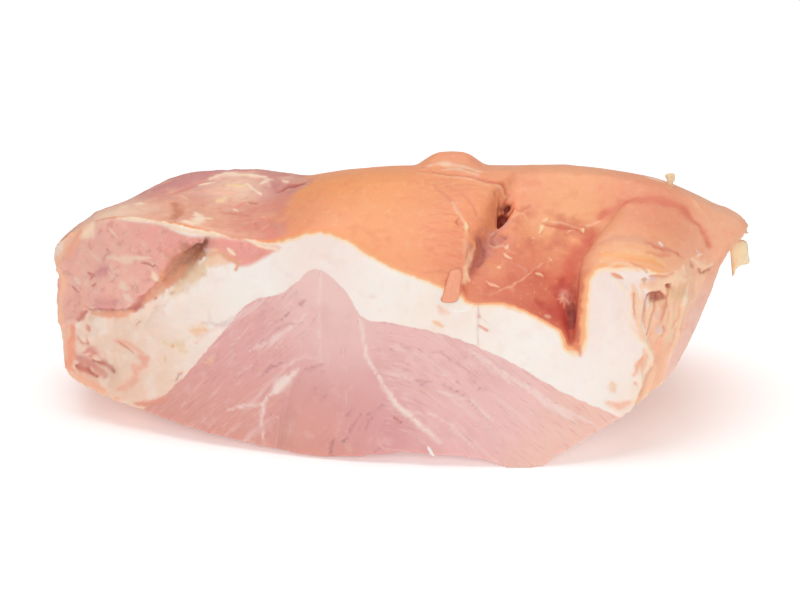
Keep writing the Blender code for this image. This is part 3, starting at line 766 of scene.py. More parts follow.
# marks by window: what carries it, points, half width and rise in mm, colour, strength
marks = {
    "whole face": {
        "seam between the muscles, top": ("knife", [
            (360, 319), (367, 358), (379, 377)], 0.75, 0, "seam", 0.75),
        "seam between the muscles": ("knife", [
            (379, 377), (396, 404), (428, 431), (439, 443)], 1.05, 0.12, "seam", 0.9),
        "marrow-white spot": ("knife", [(272, 394.5), (283, 383.5), (297, 370)], 1.45, 0.2, "seam", 1),
        "seam under the spot": ("knife", [
            (272, 394.5), (263, 403.5), (262, 420), (263, 440)], 0.8, 0, "seam", 0.8),
        "seam branch": ("knife", [(263, 403.5), (245, 406), (227, 409.5)], 0.65, 0, "seam", 0.7),
        "seam under the apex": ("knife", [(320, 271.5), (318, 329.5), (322, 362)], 0.55, 0, "seam", 0.5),
        "upper arc": ("knife", [
            (369, 350.5), (405, 348), (440, 352), (470, 372), (480, 390)], 0.3, -0.2, "crack", 0.5),
        "lower arc": ("knife", [
            (398, 382), (418, 381), (440, 383.5), (466, 396.5), (482, 416.5)], 0.32, -0.25, "crack", 0.6),
        "short crack, left": ("knife", [(279, 320), (293.5, 311), (306, 299.5)], 0.3, -0.3, "crack", 0.8),
        "short crack, under it": ("knife", [
            (273, 331), (286.5, 324.5), (300, 321.5)], 0.35, -0.25, "crack", 0.55),
        "crack beside the spot": ("knife", [
            (260, 376.5), (271.5, 367), (285, 362)], 0.45, -0.3, "crack", 0.75),
        "fat line": ("knife", [(478, 305), (478, 327), (478.5, 345.5)], 0.4, -0.1, "greyFat", 0.55),
        "grey mark": ("knife", [
            (237, 313.5), (227.5, 321), (215, 325), (202.5, 322.5)], 0.6, -0.15, "greyFat", 0.55),
        "grey mark, upright": ("knife", [(211.5, 324), (208, 309)], 0.6, -0.1, "greyFat", 0.35),
        "peach patch": ("knife", [(191.5, 331), (206, 329.5)], 1.7, 0, "peachFat", 0.8),
        "pink spot": ("knife", [(371, 297.5), (377, 296.5)], 0.8, 0, "pinkFat", 0.4),
        "beige spot": ("knife", [(433, 321.5), (442.5, 326)], 0.8, 0, "peachFat", 0.8),
    },
    "tear": {
        "fat's cream edge": ("knife", [
            (130, 400), (190, 480), (215, 560), (210, 640), (200, 700), (240, 760), (300, 820), (335, 880)
        ], 0.8, 0.35, "tearCream", 0.6),
        "peach band beside it": ("knife", [
            (225, 430), (255, 520), (262, 600), (265, 700), (290, 790)], 0.9, 0.5, "tearPeach", 0.9),
        "seam beside it": ("knife", [(228, 470), (238, 560), (242, 660)], 0.35, -0.5, "tearOrange", 0.8),
        "outer band": ("knife", [
            (285, 420), (292, 500), (285, 600), (280, 700), (305, 790)], 0.6, 0.5, "tearPeach", 0.6),
        # painted shadow: the orange-red line down the hollow's left wall stands in for the shade there
        "painted shadow on the hollow's left wall": ("knife", [
            (330, 500), (312, 580), (305, 650), (320, 720)], 0.5, -0.3, "tearLine", 0.7),
        "inner band, left": ("knife", [
            (352, 560), (345, 630), (330, 700), (335, 770)], 0.9, 0.5, "tearPeach", 0.9),
        "line in the hollow": ("knife", [
            (385, 560), (372, 620), (350, 690), (325, 770)], 0.35, -0.35, "tearLine", 0.8),
        "inner band, middle": ("knife", [
            (408, 560), (404, 620), (388, 680), (355, 745)], 0.8, 0.5, "tearPeach", 0.9),
        "lilac streak": ("knife", [(402, 620), (398, 660)], 0.6, 0.2, "lilacFat", 0.8),
        "inner band, orange": ("knife", [
            (455, 560), (440, 620), (420, 680), (390, 730)], 0.8, 0.2, "tearSalmon", 0.9),
        "tan patch": ("knife", [(495, 470), (530, 500), (570, 500), (580, 455)], 2, 0.3, "tanFat", 0.8),
        "patch's orange edge": ("knife", [
            (478, 450), (472, 520), (462, 600), (432, 670)], 0.4, -0.3, "tearLine", 0.8),
        "lilac knot": ("knife", [(412, 742), (424, 752)], 1, 0.3, "lilacFat", 0.9),
        "brown squiggle": ("knife", [
            (438, 715), (462, 745), (450, 775), (425, 785)], 0.35, -0.5, "tearLine", 0.8),
        "right band": ("knife", [
            (600, 540), (560, 620), (525, 690), (490, 750), (445, 810), (425, 870)
        ], 1.5, 0.6, "tearPeach", 0.9),
        "right band's cream edge": ("knife", [
            (625, 430), (605, 500), (580, 570)], 0.5, 0.3, "tearCream", 0.55),
        "orange line on the band": ("knife", [
            (560, 590), (545, 650), (505, 725)], 0.4, -0.2, "tearOrange", 0.6),
        "foot, orange": ("knife", [(418, 820), (402, 900), (388, 965)], 1.3, -0.3, "tearSalmon", 0.9),
        "orange spot": ("knife", [(362, 850), (350, 885)], 0.8, -0.2, "spotOrange", 0.8),
        "foot's cream band": ("knife", [
            (300, 820), (345, 870), (358, 935), (335, 1010), (300, 1090), (265, 1170), (232, 1232)
        ], 1, 0.4, "tearCream", 0.7),
        "foot's streak": ("knife", [(292, 935), (262, 1000), (236, 1052)], 1, -0.3, "tearSalmon", 0.8),
        "foot's lower streak": ("knife", [(238, 1095), (254, 1115)], 0.8, -0.2, "tearSalmon", 0.7),
        "shade at the foot": ("knife", [
            (372, 1010), (335, 1080), (318, 1130), (285, 1195)], 0.6, -0.2, "tearShade", 0.6),
        "mark in the fat": ("knife", [(85, 1105), (100, 1160)], 1.1, 0, "peachFat", 0.6),
        "orange under the fat": ("knife", [
            (60, 1250), (140, 1270), (205, 1240)], 1.1, -0.2, "tearSalmon", 0.6),
        "tan line in the fat": ("knife", [(95, 345), (130, 360), (170, 385)], 0.6, -0.4, "tearOrange", 0.9),
        "cap's upper band": ("knife", [
            (60, 290), (130, 262), (210, 280), (275, 325)], 0.8, 0.3, "tearPeach", 0.6),
        "cap": ("knife", [
            (300, 420), (345, 440), (390, 455), (440, 410), (500, 385), (560, 370), (600, 390)
        ], 1.1, 0.45, "tearPeach", 0.8),
        "cap's right": ("knife", [(560, 340), (585, 320), (600, 350)], 0.6, 0.4, "tearPeach", 0.7),
        "line over the cap": ("knife", [
            (210, 258), (250, 278), (300, 298), (335, 335)], 0.35, -0.25, "tearLine", 0.7),
        "slit over the cap": ("knife", [(300, 384), (330, 386)], 0.5, -0.4, "tearShade", 0.8),
        "lilac on the cap": ("knife", [(362, 372), (378, 392)], 0.7, 0.1, "lilacFat", 0.8),
        "edge over the cap": ("knife", [
            (350, 358), (420, 362), (470, 366), (530, 345)], 0.35, -0.4, "tearOrange", 0.8),
        "hole under the cap": ("knife", [(345, 497), (395, 502), (445, 520)], 0.9, -0.9, "tearHole", 0.85),
        "hole's floor": ("knife", [(370, 535), (410, 530)], 0.7, -0.3, "tearHole", 0.5),
        "upper hole": ("knife", [(470, 432), (484, 446)], 0.6, -1, "tearHole", 0.9),
        "outer hole, left": ("knife", [(642, 288), (664, 318)], 0.5, -0.4, "tearHole", 0.6),
        "outer hole, right": ("knife", [
            (698, 325), (712, 352), (738, 328), (772, 306)], 0.45, -0.4, "tearHole", 0.65),
        "rag over the holes": ("knife", [
            (605, 245), (630, 262), (655, 284), (690, 298), (730, 308), (770, 296), (805, 268)
        ], 0.4, 0.5, "tearPeach", 0.75),
        "yellow over the holes": ("knife", [(672, 236), (712, 246)], 0.7, 0.4, "tearPeach", 0.8),
        "side's pale line": ("knife", [(690, 420), (682, 480), (640, 600)], 0.6, 0.1, "paleLump", 0.4),
        "mark on the side": ("knife", [(560, 725), (580, 740), (595, 722)], 0.35, -0.2, "tearOrange", 0.5),
        "amber over the tear": ("skin", [
            (0, 262), (100, 205), (200, 188), (330, 212), (450, 262)], 1.4, 0, "rollAmber", 0.45),
        "fold on the roll": ("skin", [
            (325, 118), (390, 148), (460, 168), (540, 192), (585, 232)], 0.45, -0.15, "salmonShade", 0.5),
        "fold above it": ("skin", [(330, 190), (420, 202), (505, 214)], 0.5, -0.2, "salmonShade", 0.4),
        # painted highlight: a near-white glint on the roll's wet rind
        "wet glint": ("skin", [(418, 118), (446, 142)], 0.4, 0.2, "fatBrightAndGlint", 0.7),
        "lilac on the roll": ("skin", [(690, 186), (704, 214)], 0.8, 0.2, "lilacFat", 0.7),
    },
    "valley": {
        "hole": ("skin", [
            (588, 268), (608, 222), (632, 172), (652, 128), (668, 92)], 0.8, -1.5, "holeShade", 0.95),
        "hole's red wall": ("skin", [(655, 205), (680, 160), (694, 128)], 0.9, -0.6, "deepSalmon", 0.85),
        "lip beside the hole": ("skin", [
            (700, 182), (742, 160), (790, 154), (812, 190), (832, 226)], 0.4, 0.2, "wispCream", 0.45),
        "membrane below the hole": ("skin", [
            (690, 205), (645, 248), (600, 288), (560, 312), (540, 350)], 0.6, 0.3, "wispRose", 0.8),
        "painted shade under the fold over the hole": ("skin", [
            # painted shade: the salmon line is the shaded side of a small lip-like fold over the hole
            (716, 106), (752, 130), (802, 120), (848, 84)], 0.4, -0.3, "salmon", 0.6),
        "bright shred": ("skin", [
            (975, 190), (950, 232), (930, 270), (906, 308)], 0.35, 0.3, "wispYellow", 0.75),
        "crease's edge": ("skin", [
            (950, 206), (1050, 216), (1150, 236), (1228, 262), (1264, 286)], 0.28, 0.12, "wispCream", 0.5),
        "crease": ("skin", [
            (940, 236), (1040, 250), (1140, 266), (1215, 280)], 0.4, -0.35, "salmonShade", 0.6),
        "crease's shred": ("skin", [(1258, 268), (1268, 296)], 0.4, 0.4, "wispYellow", 0.9),
        "crease's end": ("skin", [(1290, 248), (1342, 236), (1400, 206)], 0.35, 0.2, "wispCream", 0.6),
        "shred under the crease": ("skin", [
            (1132, 306), (1160, 276), (1200, 272)], 0.3, 0.2, "wispCream", 0.6),
        # painted shadow: these mauve patches under the dome's overhanging lip stand in for the shade it casts
        # on the valley wall
        "painted shadow under the lip, low": ("skin", [
            (368, 605), (395, 548), (430, 490), (455, 425)], 1.9, -0.3, "mauveShade", 0.6),
        "painted shadow under the lip, upper": ("skin", [(545, 390), (590, 365), (640, 345)], 2.6, -0.3, "lipShadowMauve", 0.6),
        "painted shadow under the lip, between": ("skin", [(470, 470), (500, 420), (530, 390)], 2, -0.3, "lipShadowMauve", 0.55),
        "dark line": ("skin", [(452, 405), (480, 440), (468, 520), (430, 575)], 0.4, -0.2, "holeRose", 0.45),
        "dark line, upper": ("skin", [(600, 320), (640, 350), (660, 300)], 0.35, -0.15, "holeRose", 0.4),
        "wisp 1": ("skin", [(500, 425), (520, 362), (560, 312)], 0.4, 0.2, "wispRose", 0.5),
        "wisp 2": ("skin", [(478, 300), (502, 332), (532, 342), (560, 312)], 0.35, 0.2, "wispRose", 0.45),
        "wisp 3": ("skin", [
            (520, 402), (560, 422), (620, 402), (642, 432), (700, 462)], 0.4, 0.2, "wispCream", 0.4),
        "wisp 4": ("skin", [(642, 302), (660, 342), (642, 382), (690, 432)], 0.35, 0.2, "wispRose", 0.45),
        "wisp 5": ("skin", [(690, 302), (702, 382), (690, 432)], 0.4, 0.1, "wispRose", 0.5),
        "bright knot": ("skin", [(620, 462), (642, 490), (690, 510)], 0.4, 0.4, "wispCream", 0.9),
        "bright knot, upper": ("skin", [(636, 432), (662, 410)], 0.4, 0.3, "wispCream", 0.8),
        "wisp 6": ("skin", [(500, 432), (512, 462), (560, 472), (600, 452)], 0.35, 0.1, "wispRose", 0.5),
        "wisp 7": ("skin", [(560, 350), (580, 400), (560, 430)], 0.35, 0.2, "wispRose", 0.5),
        "peel's amber edge": ("skin", [
            (300, 180), (330, 262), (350, 320), (375, 372), (402, 408)], 0.4, 0.2, "amber", 0.6),
        "peel": ("skin", [
            (218, 55), (252, 132), (290, 192), (318, 252), (330, 300)], 0.5, 0.3, "paleRind", 0.55),
        "peel's bright spot": ("skin", [(318, 232), (328, 280)], 0.6, 0.5, "wispYellow", 0.8),
        "peel's marks": ("skin", [(262, 172), (242, 212), (268, 240)], 0.4, -0.4, "salmonShade", 0.7),
        "peel, middle": ("skin", [(332, 300), (320, 372), (330, 450), (322, 520)], 1, 0.2, "paleRind", 0.35),
        "peel's hole": ("skin", [(345, 452), (352, 486), (332, 520)], 0.5, -0.6, "tearLine", 0.8),
        "peel's edge": ("skin", [
            (398, 402), (384, 460), (360, 522), (345, 582), (330, 640)], 0.3, 0.2, "wispCream", 0.6),
        "peel's tongue": ("skin", [
            (345, 562), (322, 592), (330, 642), (318, 690), (292, 712)], 0.55, 0.3, "paleRind", 0.6),
        "shade under the peel": ("skin", [
            (300, 730), (322, 770), (290, 820), (262, 862)], 0.9, -0.3, "valleyRed", 0.7),
        "shade left of the flap": ("skin", [
            (195, 640), (160, 740), (112, 820)], 0.45, -0.3, "salmonShade", 0.6),
        "bright fleck": ("skin", [(342, 652), (350, 680)], 0.4, 0.3, "wispCream", 0.9),
        "flecks' line": ("skin", [
            (482, 682), (512, 710), (560, 722), (592, 742)], 0.3, 0.3, "wispCream", 0.7),
        "fleck, middle": ("skin", [(582, 576), (600, 584)], 0.4, 0.3, "wispCream", 0.8),
        "fleck, right": ("skin", [(892, 640), (942, 656)], 0.4, 0.4, "wispCream", 0.9),
        "fleck, front": ("skin", [(960, 960), (1010, 976)], 0.5, 0.4, "wispCream", 0.9),
        "long line": ("skin", [
            (520, 810), (600, 772), (700, 730), (780, 672), (830, 632), (882, 582), (960, 542),
            (1010, 516)], 0.25, 0.1, "wispCream", 0.45),
        "line's fork": ("skin", [(985, 500), (1005, 520), (1020, 540)], 0.22, 0.15, "wispCream", 0.5),
        "line's branch": ("skin", [(740, 562), (800, 602), (822, 632)], 0.45, 0.2, "wispRose", 0.5),
        "faint fold": ("skin", [
            (832, 332), (862, 402), (882, 502), (872, 532)], 0.5, -0.1, "salmonShade", 0.35),
        "ochre floor": ("skin", [(520, 560), (600, 600), (520, 640)], 2.6, 0, "bulgeAmber", 0.22),
        "shade beside the roll": ("skin", [
            (1330, 330), (1230, 480), (1170, 580), (1120, 690)], 2.2, -0.2, "valleyRed", 0.7),
        "deep shade": ("skin", [
            (1110, 690), (1100, 800), (1090, 900), (1140, 1010)], 2.4, -0.3, "deepRed", 0.8),
        "front shade": ("skin", [
            (900, 860), (1000, 920), (1100, 990), (1160, 1050)], 2.2, -0.2, "deepRed", 0.6),
        # painted shade: dark rose where the valley runs in under the roll's edge
        "painted shade along the notch": ("skin", [
            (1172, 900), (1180, 960), (1190, 1040)], 0.9, -0.5, "holeRose", 0.8),
        "membrane by the notch": ("skin", [(1090, 800), (1140, 800), (1150, 840)], 1.1, 0.3, "wispRose", 0.7),
        "shred by the notch": ("skin", [(1060, 830), (1105, 822), (1162, 880)], 0.3, 0.2, "wispCream", 0.6),
        "shred's branch": ("skin", [
            (1112, 790), (1096, 856), (1132, 872), (1130, 910)], 0.3, 0.2, "wispCream", 0.5),
        "salmon floor": ("skin", [(480, 860), (620, 850), (760, 870)], 1.8, 0, "valleySalmon", 0.5),
        "orange under the rind": ("knife", [(112, 890), (142, 930), (192, 952)], 1, -0.1, "tearSalmon", 0.4),
        "bright edge under the flap": ("knife", [
            (190, 912), (252, 930), (330, 916), (385, 882)], 0.4, 0.1, "fatBrightAndGlint", 0.5),
        "thin line in the fat": ("knife", [
            (425, 860), (430, 945), (455, 990), (512, 1032)], 0.2, -0.1, "lilacFat", 0.4),
        "red spot in the fat": ("knife", [(428, 970), (440, 980)], 0.35, -0.1, "pinkFat", 0.5),
        "orange line under the rind": ("knife", [
            (640, 900), (700, 918), (770, 944)], 0.3, -0.1, "tearSalmon", 0.4),
    },
    "left end": {
        "rim": ("knife", [
            (92, 60), (94, 130), (112, 185), (146, 240), (152, 300), (124, 372), (104, 450), (128, 530),
            (148, 600), (176, 680), (172, 760), (164, 850), (166, 925), (210, 992), (296, 1050),
            (384, 1100), (470, 1140)], 1, 0, "rimPeach", 0.9),
        "orange rim": ("knife", [
            (224, 600), (228, 700), (214, 780), (208, 850), (205, 930)], 1.1, 0.1, "smokeEdge", 0.95),
        "orange corner": ("knife", [(160, 880), (182, 930), (236, 968)], 0.8, 0, "smokeEdge", 0.9),
        "peach inside the rim": ("knife", [(250, 1000), (340, 1050), (420, 1090)], 1, 0.1, "rimPeach", 0.8),
        # painted shade: the dark red-brown line along the fold under the end muscle stands in for the shade
        # in that fold
        "painted shade in the fold under the lump": ("knife", [
            (350, 486), (430, 474), (560, 478), (680, 474)], 0.4, -0.3, "lumpFold", 0.7),
        "lip under the lump": ("knife", [
            (380, 508), (450, 512), (550, 520), (650, 512), (710, 490)], 1, 0.3, "lipTan", 0.85),
        "red knot": ("knife", [(262, 560), (296, 524), (332, 500)], 0.9, -0.2, "lumpFold", 0.8),
        "pink knot": ("knife", [(330, 600), (346, 645)], 0.8, -0.1, "pinkFat", 0.8),
        # painted shade: the dark red-brown line up the crease to the slit stands in for the shade in the
        # crease
        "painted shade in the crease to the slit": ("knife", [
            (690, 472), (745, 445), (782, 395), (850, 325), (905, 280)], 0.9, -0.5, "lumpFold", 0.85),
        "peach beside the crease": ("knife", [
            (790, 430), (860, 360), (950, 300), (1050, 236), (1120, 165)], 1.2, 0.2, "lipTan", 0.75),
        "dark nicks": ("knife", [(716, 594), (758, 562)], 0.25, -0.1, "crack", 0.5),
        "dark nick, middle": ("knife", [(866, 402), (892, 382)], 0.25, -0.1, "crack", 0.5),
        "dark nick, right": ("knife", [(1008, 350), (1030, 332)], 0.25, -0.1, "crack", 0.5),
        "cavity's flush": ("knife", [
            (262, 870), (330, 900), (400, 950), (470, 1000)], 1.7, -0.3, "cavityPink", 0.8),
        "cavity": ("knife", [(250, 930), (292, 960), (350, 972), (412, 1012)], 0.75, -0.3, "cavityRed", 0.8),
        "upper cavity": ("knife", [
            (388, 900), (450, 912), (512, 942), (542, 982)], 0.95, -0.2, "cavityBrown", 0.75),
        "knob in the cavity": ("knife", [
            (322, 822), (370, 802), (402, 832), (370, 862)], 1, 0.4, "cavityPink", 0.8),
        "thin pink line": ("knife", [
            (260, 690), (288, 738), (340, 752), (332, 690)], 0.3, -0.3, "cavityPink", 0.8),
        "cream lobe, upper": ("knife", [(275, 650), (300, 690), (345, 705)], 0.9, 0.3, "fatCream", 0.8),
        "ring, upper": ("knife", [(560, 722), (640, 735), (700, 775), (775, 822)], 1, 0.1, "ringPink", 0.6),
        "salmon veil": ("knife", [(250, 960), (330, 1010), (420, 1060)], 1.6, 0, "ringPink", 0.4),
        "ring, right": ("knife", [(740, 850), (815, 872), (790, 915), (758, 955)], 1.2, 0, "ringPink", 0.7),
        "ring, low": ("knife", [
            (705, 930), (738, 1000), (700, 1062), (640, 1098), (580, 1110)], 1.3, -0.1, "ringPink", 0.65),
        "tan thread": ("knife", [(580, 730), (640, 772), (700, 822)], 0.3, -0.3, "tanShade", 0.5),
        "cream lobe": ("knife", [(560, 820), (602, 882), (640, 932), (630, 1020)], 1.6, 0.4, "fatCream", 0.7),
        "beige veil": ("knife", [
            (960, 742), (1020, 762), (1100, 752), (1080, 800), (1130, 812)], 0.8, 0.1, "beigeFat", 0.75),
        "orange speck": ("knife", [(1016, 762), (1030, 770)], 0.5, -0.1, "tearOrange", 0.7),
        "orange speck, right": ("knife", [(1210, 744), (1222, 748)], 0.5, 0, "tearOrange", 0.5),
        "orange dash": ("knife", [(966, 858), (966, 900)], 0.4, 0, "peachFat", 0.8),
        "orange foot": ("knife", [(380, 1052), (430, 1098), (475, 1110)], 0.7, 0, "tearSalmon", 0.6),
        "orange foot, right": ("knife", [(560, 1182), (604, 1202)], 1, 0, "tearSalmon", 0.7),
        "lump's pale band": ("knife", [
            (500, 56), (600, 62), (720, 66), (842, 60)], 0.7, 0.2, "paleLump", 0.9),
        "under that band": ("knife", [(600, 84), (700, 104)], 0.8, 0.1, "paleLump", 0.6),
        "pale spot": ("knife", [(622, 262), (645, 310)], 1.4, 0.1, "paleLump", 0.9),
        "pale spot, low": ("knife", [(640, 362), (682, 392)], 1.4, 0.1, "paleLump", 0.9),
        "pale spot, left": ("knife", [(235, 235), (262, 262)], 1, 0.1, "paleLump", 0.8),
        "pale at the top": ("knife", [(380, 42), (432, 82)], 1, 0.1, "paleLump", 0.6),
        "crack, far left": ("knife", [(200, 290), (240, 332), (262, 342)], 0.3, -0.15, "crackRed", 0.75),
        "crack, left": ("knife", [(360, 292), (412, 270)], 0.3, -0.15, "crackRed", 0.75),
        "crack by the slit": ("knife", [
            (762, 100), (832, 112), (860, 132), (884, 118)], 0.3, -0.15, "crackRed", 0.75),
        "crack in the lump": ("knife", [(332, 190), (382, 202), (352, 242)], 0.4, -0.3, "lumpFold", 0.7),
        "rosy zone": ("knife", [(400, 192), (500, 142)], 1.8, -0.1, "lumpDeep", 0.6),
        "rosy zone, low": ("knife", [(400, 440), (480, 430), (580, 410)], 2, 0, "lumpDeep", 0.6),
        "cream lens": ("knife", [(862, 180), (878, 212), (892, 240)], 0.9, 0.2, "creamEdge", 0.8),
        "lens's orange edge": ("knife", [(924, 152), (930, 200), (936, 244)], 0.4, 0, "spotOrange", 0.45),
    },
    "left top": {
        "cream edge": ("knife", [
            (250, 328), (310, 302), (390, 292), (440, 302), (510, 322), (600, 322), (668, 328),
            (702, 358), (760, 382), (860, 402), (930, 412), (1000, 407), (1120, 407), (1162, 440),
            (1210, 462), (1290, 490), (1370, 510)], 0.75, 0.35, "creamEdge", 0.95),
        "white patch": ("knife", [(822, 402), (850, 420), (822, 440)], 0.7, 0.1, "creamEdge", 0.4),
        "cream corner": ("knife", [(185, 425), (230, 402), (262, 362)], 1.3, 0.1, "creamEdge", 0.75),
        "rim, upper": ("knife", [
            (40, 600), (62, 560), (112, 462), (172, 392), (250, 335)], 1, 0.1, "rimPeach", 0.85),
        "rim's orange": ("knife", [(92, 570), (120, 520), (152, 468), (192, 402)], 0.8, 0, "smokeEdge", 0.6),
        "scratch": ("knife", [(372, 392), (392, 420), (415, 440)], 0.4, 0.2, "paleLump", 0.8),
        "red specks": ("knife", [(345, 505), (352, 515)], 0.3, -0.1, "crackRed", 0.7),
        "tongue's dots": ("knife", [(1072, 500), (1112, 540)], 0.5, 0.2, "creamEdge", 0.8),
        "tongue's dashes": ("knife", [(1072, 416), (1112, 418)], 0.3, 0.1, "creamEdge", 0.5),
        "tan under the tongue": ("knife", [
            (962, 540), (1020, 522), (1062, 560), (1122, 582), (1108, 622)], 0.8, -0.2, "lipTan", 0.8),
        "peach under the slit": ("knife", [(942, 590), (1000, 562), (1042, 580)], 1.5, 0.2, "tearPeach", 0.7),
        "cream haze": ("skin", [(330, 300), (520, 280), (680, 250)], 3.4, 0, "creamEdge", 0.35),
        "back muscle": ("skin", [
            (650, 152), (750, 112), (850, 72), (1000, 46), (1180, 36)], 2.6, 0.3, "muscleLilac", 0.8),
        "muscle's edge": ("skin", [
            (590, 188), (700, 178), (800, 142), (870, 112), (960, 84)], 0.6, -0.6, "membraneRose", 0.7),
        "cream streak, back": ("skin", [
            (960, 82), (1062, 62), (1182, 62), (1292, 74)], 1.1, 0.3, "creamEdge", 0.8),
        "cream streak, left": ("skin", [(900, 122), (982, 102)], 0.9, 0.2, "membraneCream", 0.8),
        "yellow streak": ("skin", [(1060, 122), (1150, 132), (1182, 112)], 0.8, 0.3, "yellowFat", 0.8),
        "white by the corner": ("skin", [(1272, 112), (1308, 92), (1322, 130)], 1.1, 0.4, "creamEdge", 0.9),
        "streak down": ("skin", [(1190, 122), (1230, 160), (1272, 182)], 0.8, 0.4, "creamEdge", 0.7),
        "salmon field": ("skin", [(940, 152), (1020, 162), (1110, 172)], 2.2, 0.1, "membraneSalmon", 0.7),
        "red hole": ("skin", [(1186, 218), (1212, 228), (1244, 236)], 0.55, -1.2, "crackRed", 0.95),
        "red beside the hole": ("skin", [(1110, 250), (1172, 226)], 0.7, -0.2, "redFlush", 0.6),
        "beige spot": ("skin", [(1002, 222), (1050, 202)], 1, 0.2, "yellowFat", 0.8),
        "beige spot, low": ("skin", [(950, 322), (975, 330)], 0.8, 0.2, "yellowFat", 0.8),
        "pale spot, left": ("skin", [(520, 236), (560, 236)], 1.2, 0.1, "creamEdge", 0.7),
        "pale spot, far left": ("skin", [(420, 262), (462, 252)], 1.2, 0.1, "creamEdge", 0.6),
        "tan hollow": ("skin", [(742, 222), (762, 272), (742, 322)], 1.6, -0.7, "tanShade", 0.85),
        "dark thread": ("skin", [(750, 338), (756, 372)], 0.35, -0.4, "crackBrown", 0.7),
        "tan beside it": ("skin", [(672, 262), (702, 212)], 1.6, 0, "membraneTan", 0.7),
        "peach spot": ("skin", [(780, 182), (822, 212)], 0.9, 0.2, "tearSalmon", 0.7),
        "cream pool": ("skin", [(800, 342), (870, 352), (900, 322), (870, 290)], 1.6, 0.1, "creamEdge", 0.8),
        "rose field": ("skin", [(1040, 282), (1120, 292), (1182, 302)], 1.8, -0.1, "silverRose", 0.6),
        "knot in it": ("skin", [(1100, 260), (1130, 282)], 0.5, 0.4, "creamEdge", 0.6),
        "flush, left": ("skin", [(1150, 382), (1192, 384)], 1.2, 0, "redFlush", 0.6),
        "flush, right": ("skin", [
            (1290, 382), (1330, 402), (1340, 440), (1302, 430)], 1.3, 0, "redFlush", 0.55),
        "ring": ("skin", [
            (1240, 322), (1290, 312), (1322, 352), (1282, 402), (1232, 382), (1222, 342)
        ], 0.5, -0.4, "redFlush", 0.45),
        "dark corner": ("skin", [(1380, 152), (1430, 122), (1520, 112)], 1.8, -0.6, "darkRose", 0.85),
        "rose corner": ("skin", [(1332, 102), (1362, 142)], 1.8, -0.2, "muscleRose", 0.8),
        "white in the corner": ("skin", [(1400, 90), (1422, 102)], 0.6, 0.3, "creamEdge", 0.8),
        "grey behind the corner": ("skin", [(1440, 72), (1540, 96)], 1, 0.1, "greyFat", 0.3),
    },
    "knob": {
        "knob's cream": ("skin", [
            (450, 84), (485, 72), (525, 76), (565, 86), (610, 97)], 1.2, 0.3, "tearPeach", 0.7),
        "knob's bright cream": ("skin", [
            (500, 95), (540, 92), (580, 100), (608, 106)], 0.8, 0.2, "creamEdge", 0.5),
        "knob's edge": ("skin", [
            (432, 82), (470, 96), (540, 110), (620, 116), (660, 130), (700, 160), (690, 188)
        ], 0.5, -0.4, "salmonShade", 0.6),
    },
}


def sightLine(column, row):
    # where the camera stands and the way it looks through a pixel of the 800 by 600 frame
    tilt = math.radians(view["elevation"])
    ahead = np.array((0, math.cos(tilt), -math.sin(tilt)))
    up = np.array((0, math.sin(tilt), math.cos(tilt)))
    focal = view["lens"] / view["sensor"] * view["width"]
    right = np.array((1, 0, 0))
    aside = right * (column - view["width"] / 2) + up * (view["height"] / 2 - row)
    way = ahead + aside / focal
    return origin + view["target"] - ahead * view["distance"], way


def onKnife(column, row):
    # where the sight line meets the knife face
    eye, way = sightLine(column, row)
    place = eye + way * view["distance"]
    for _ in range(12):
        place = place + way * (knifeDepth(place[0], place[2]) - place[1]) / way[1]
    return place


def onSkin(column, row):
    # where it meets the shaped knuckle
    eye, way = sightLine(column, row)
    place, *_ = shapedTree.ray_cast(Vector(eye), Vector(way).normalized())
    return place and np.array(place)


def landMarks(carrier, chosen):
    # the marks in the chosen windows, as lines in mm: x and height on the knife face, x and depth on the skin
    land, second = (onKnife, 2) if carrier == "knife" else (onSkin, 1)
    table = {}
    for window in chosen:
        left, top, enlarged = windows[window]
        for name, (on, pixels, half, height, tone, strength) in marks[window].items():
            places = [land(left + px / enlarged, top + py / enlarged) for px, py in pixels if on == carrier]
            line = [(place[0], place[second]) for place in places if place is not None]
            if len(line) > 1:
                table[name] = (line, half, height, tone, strength)
    return table


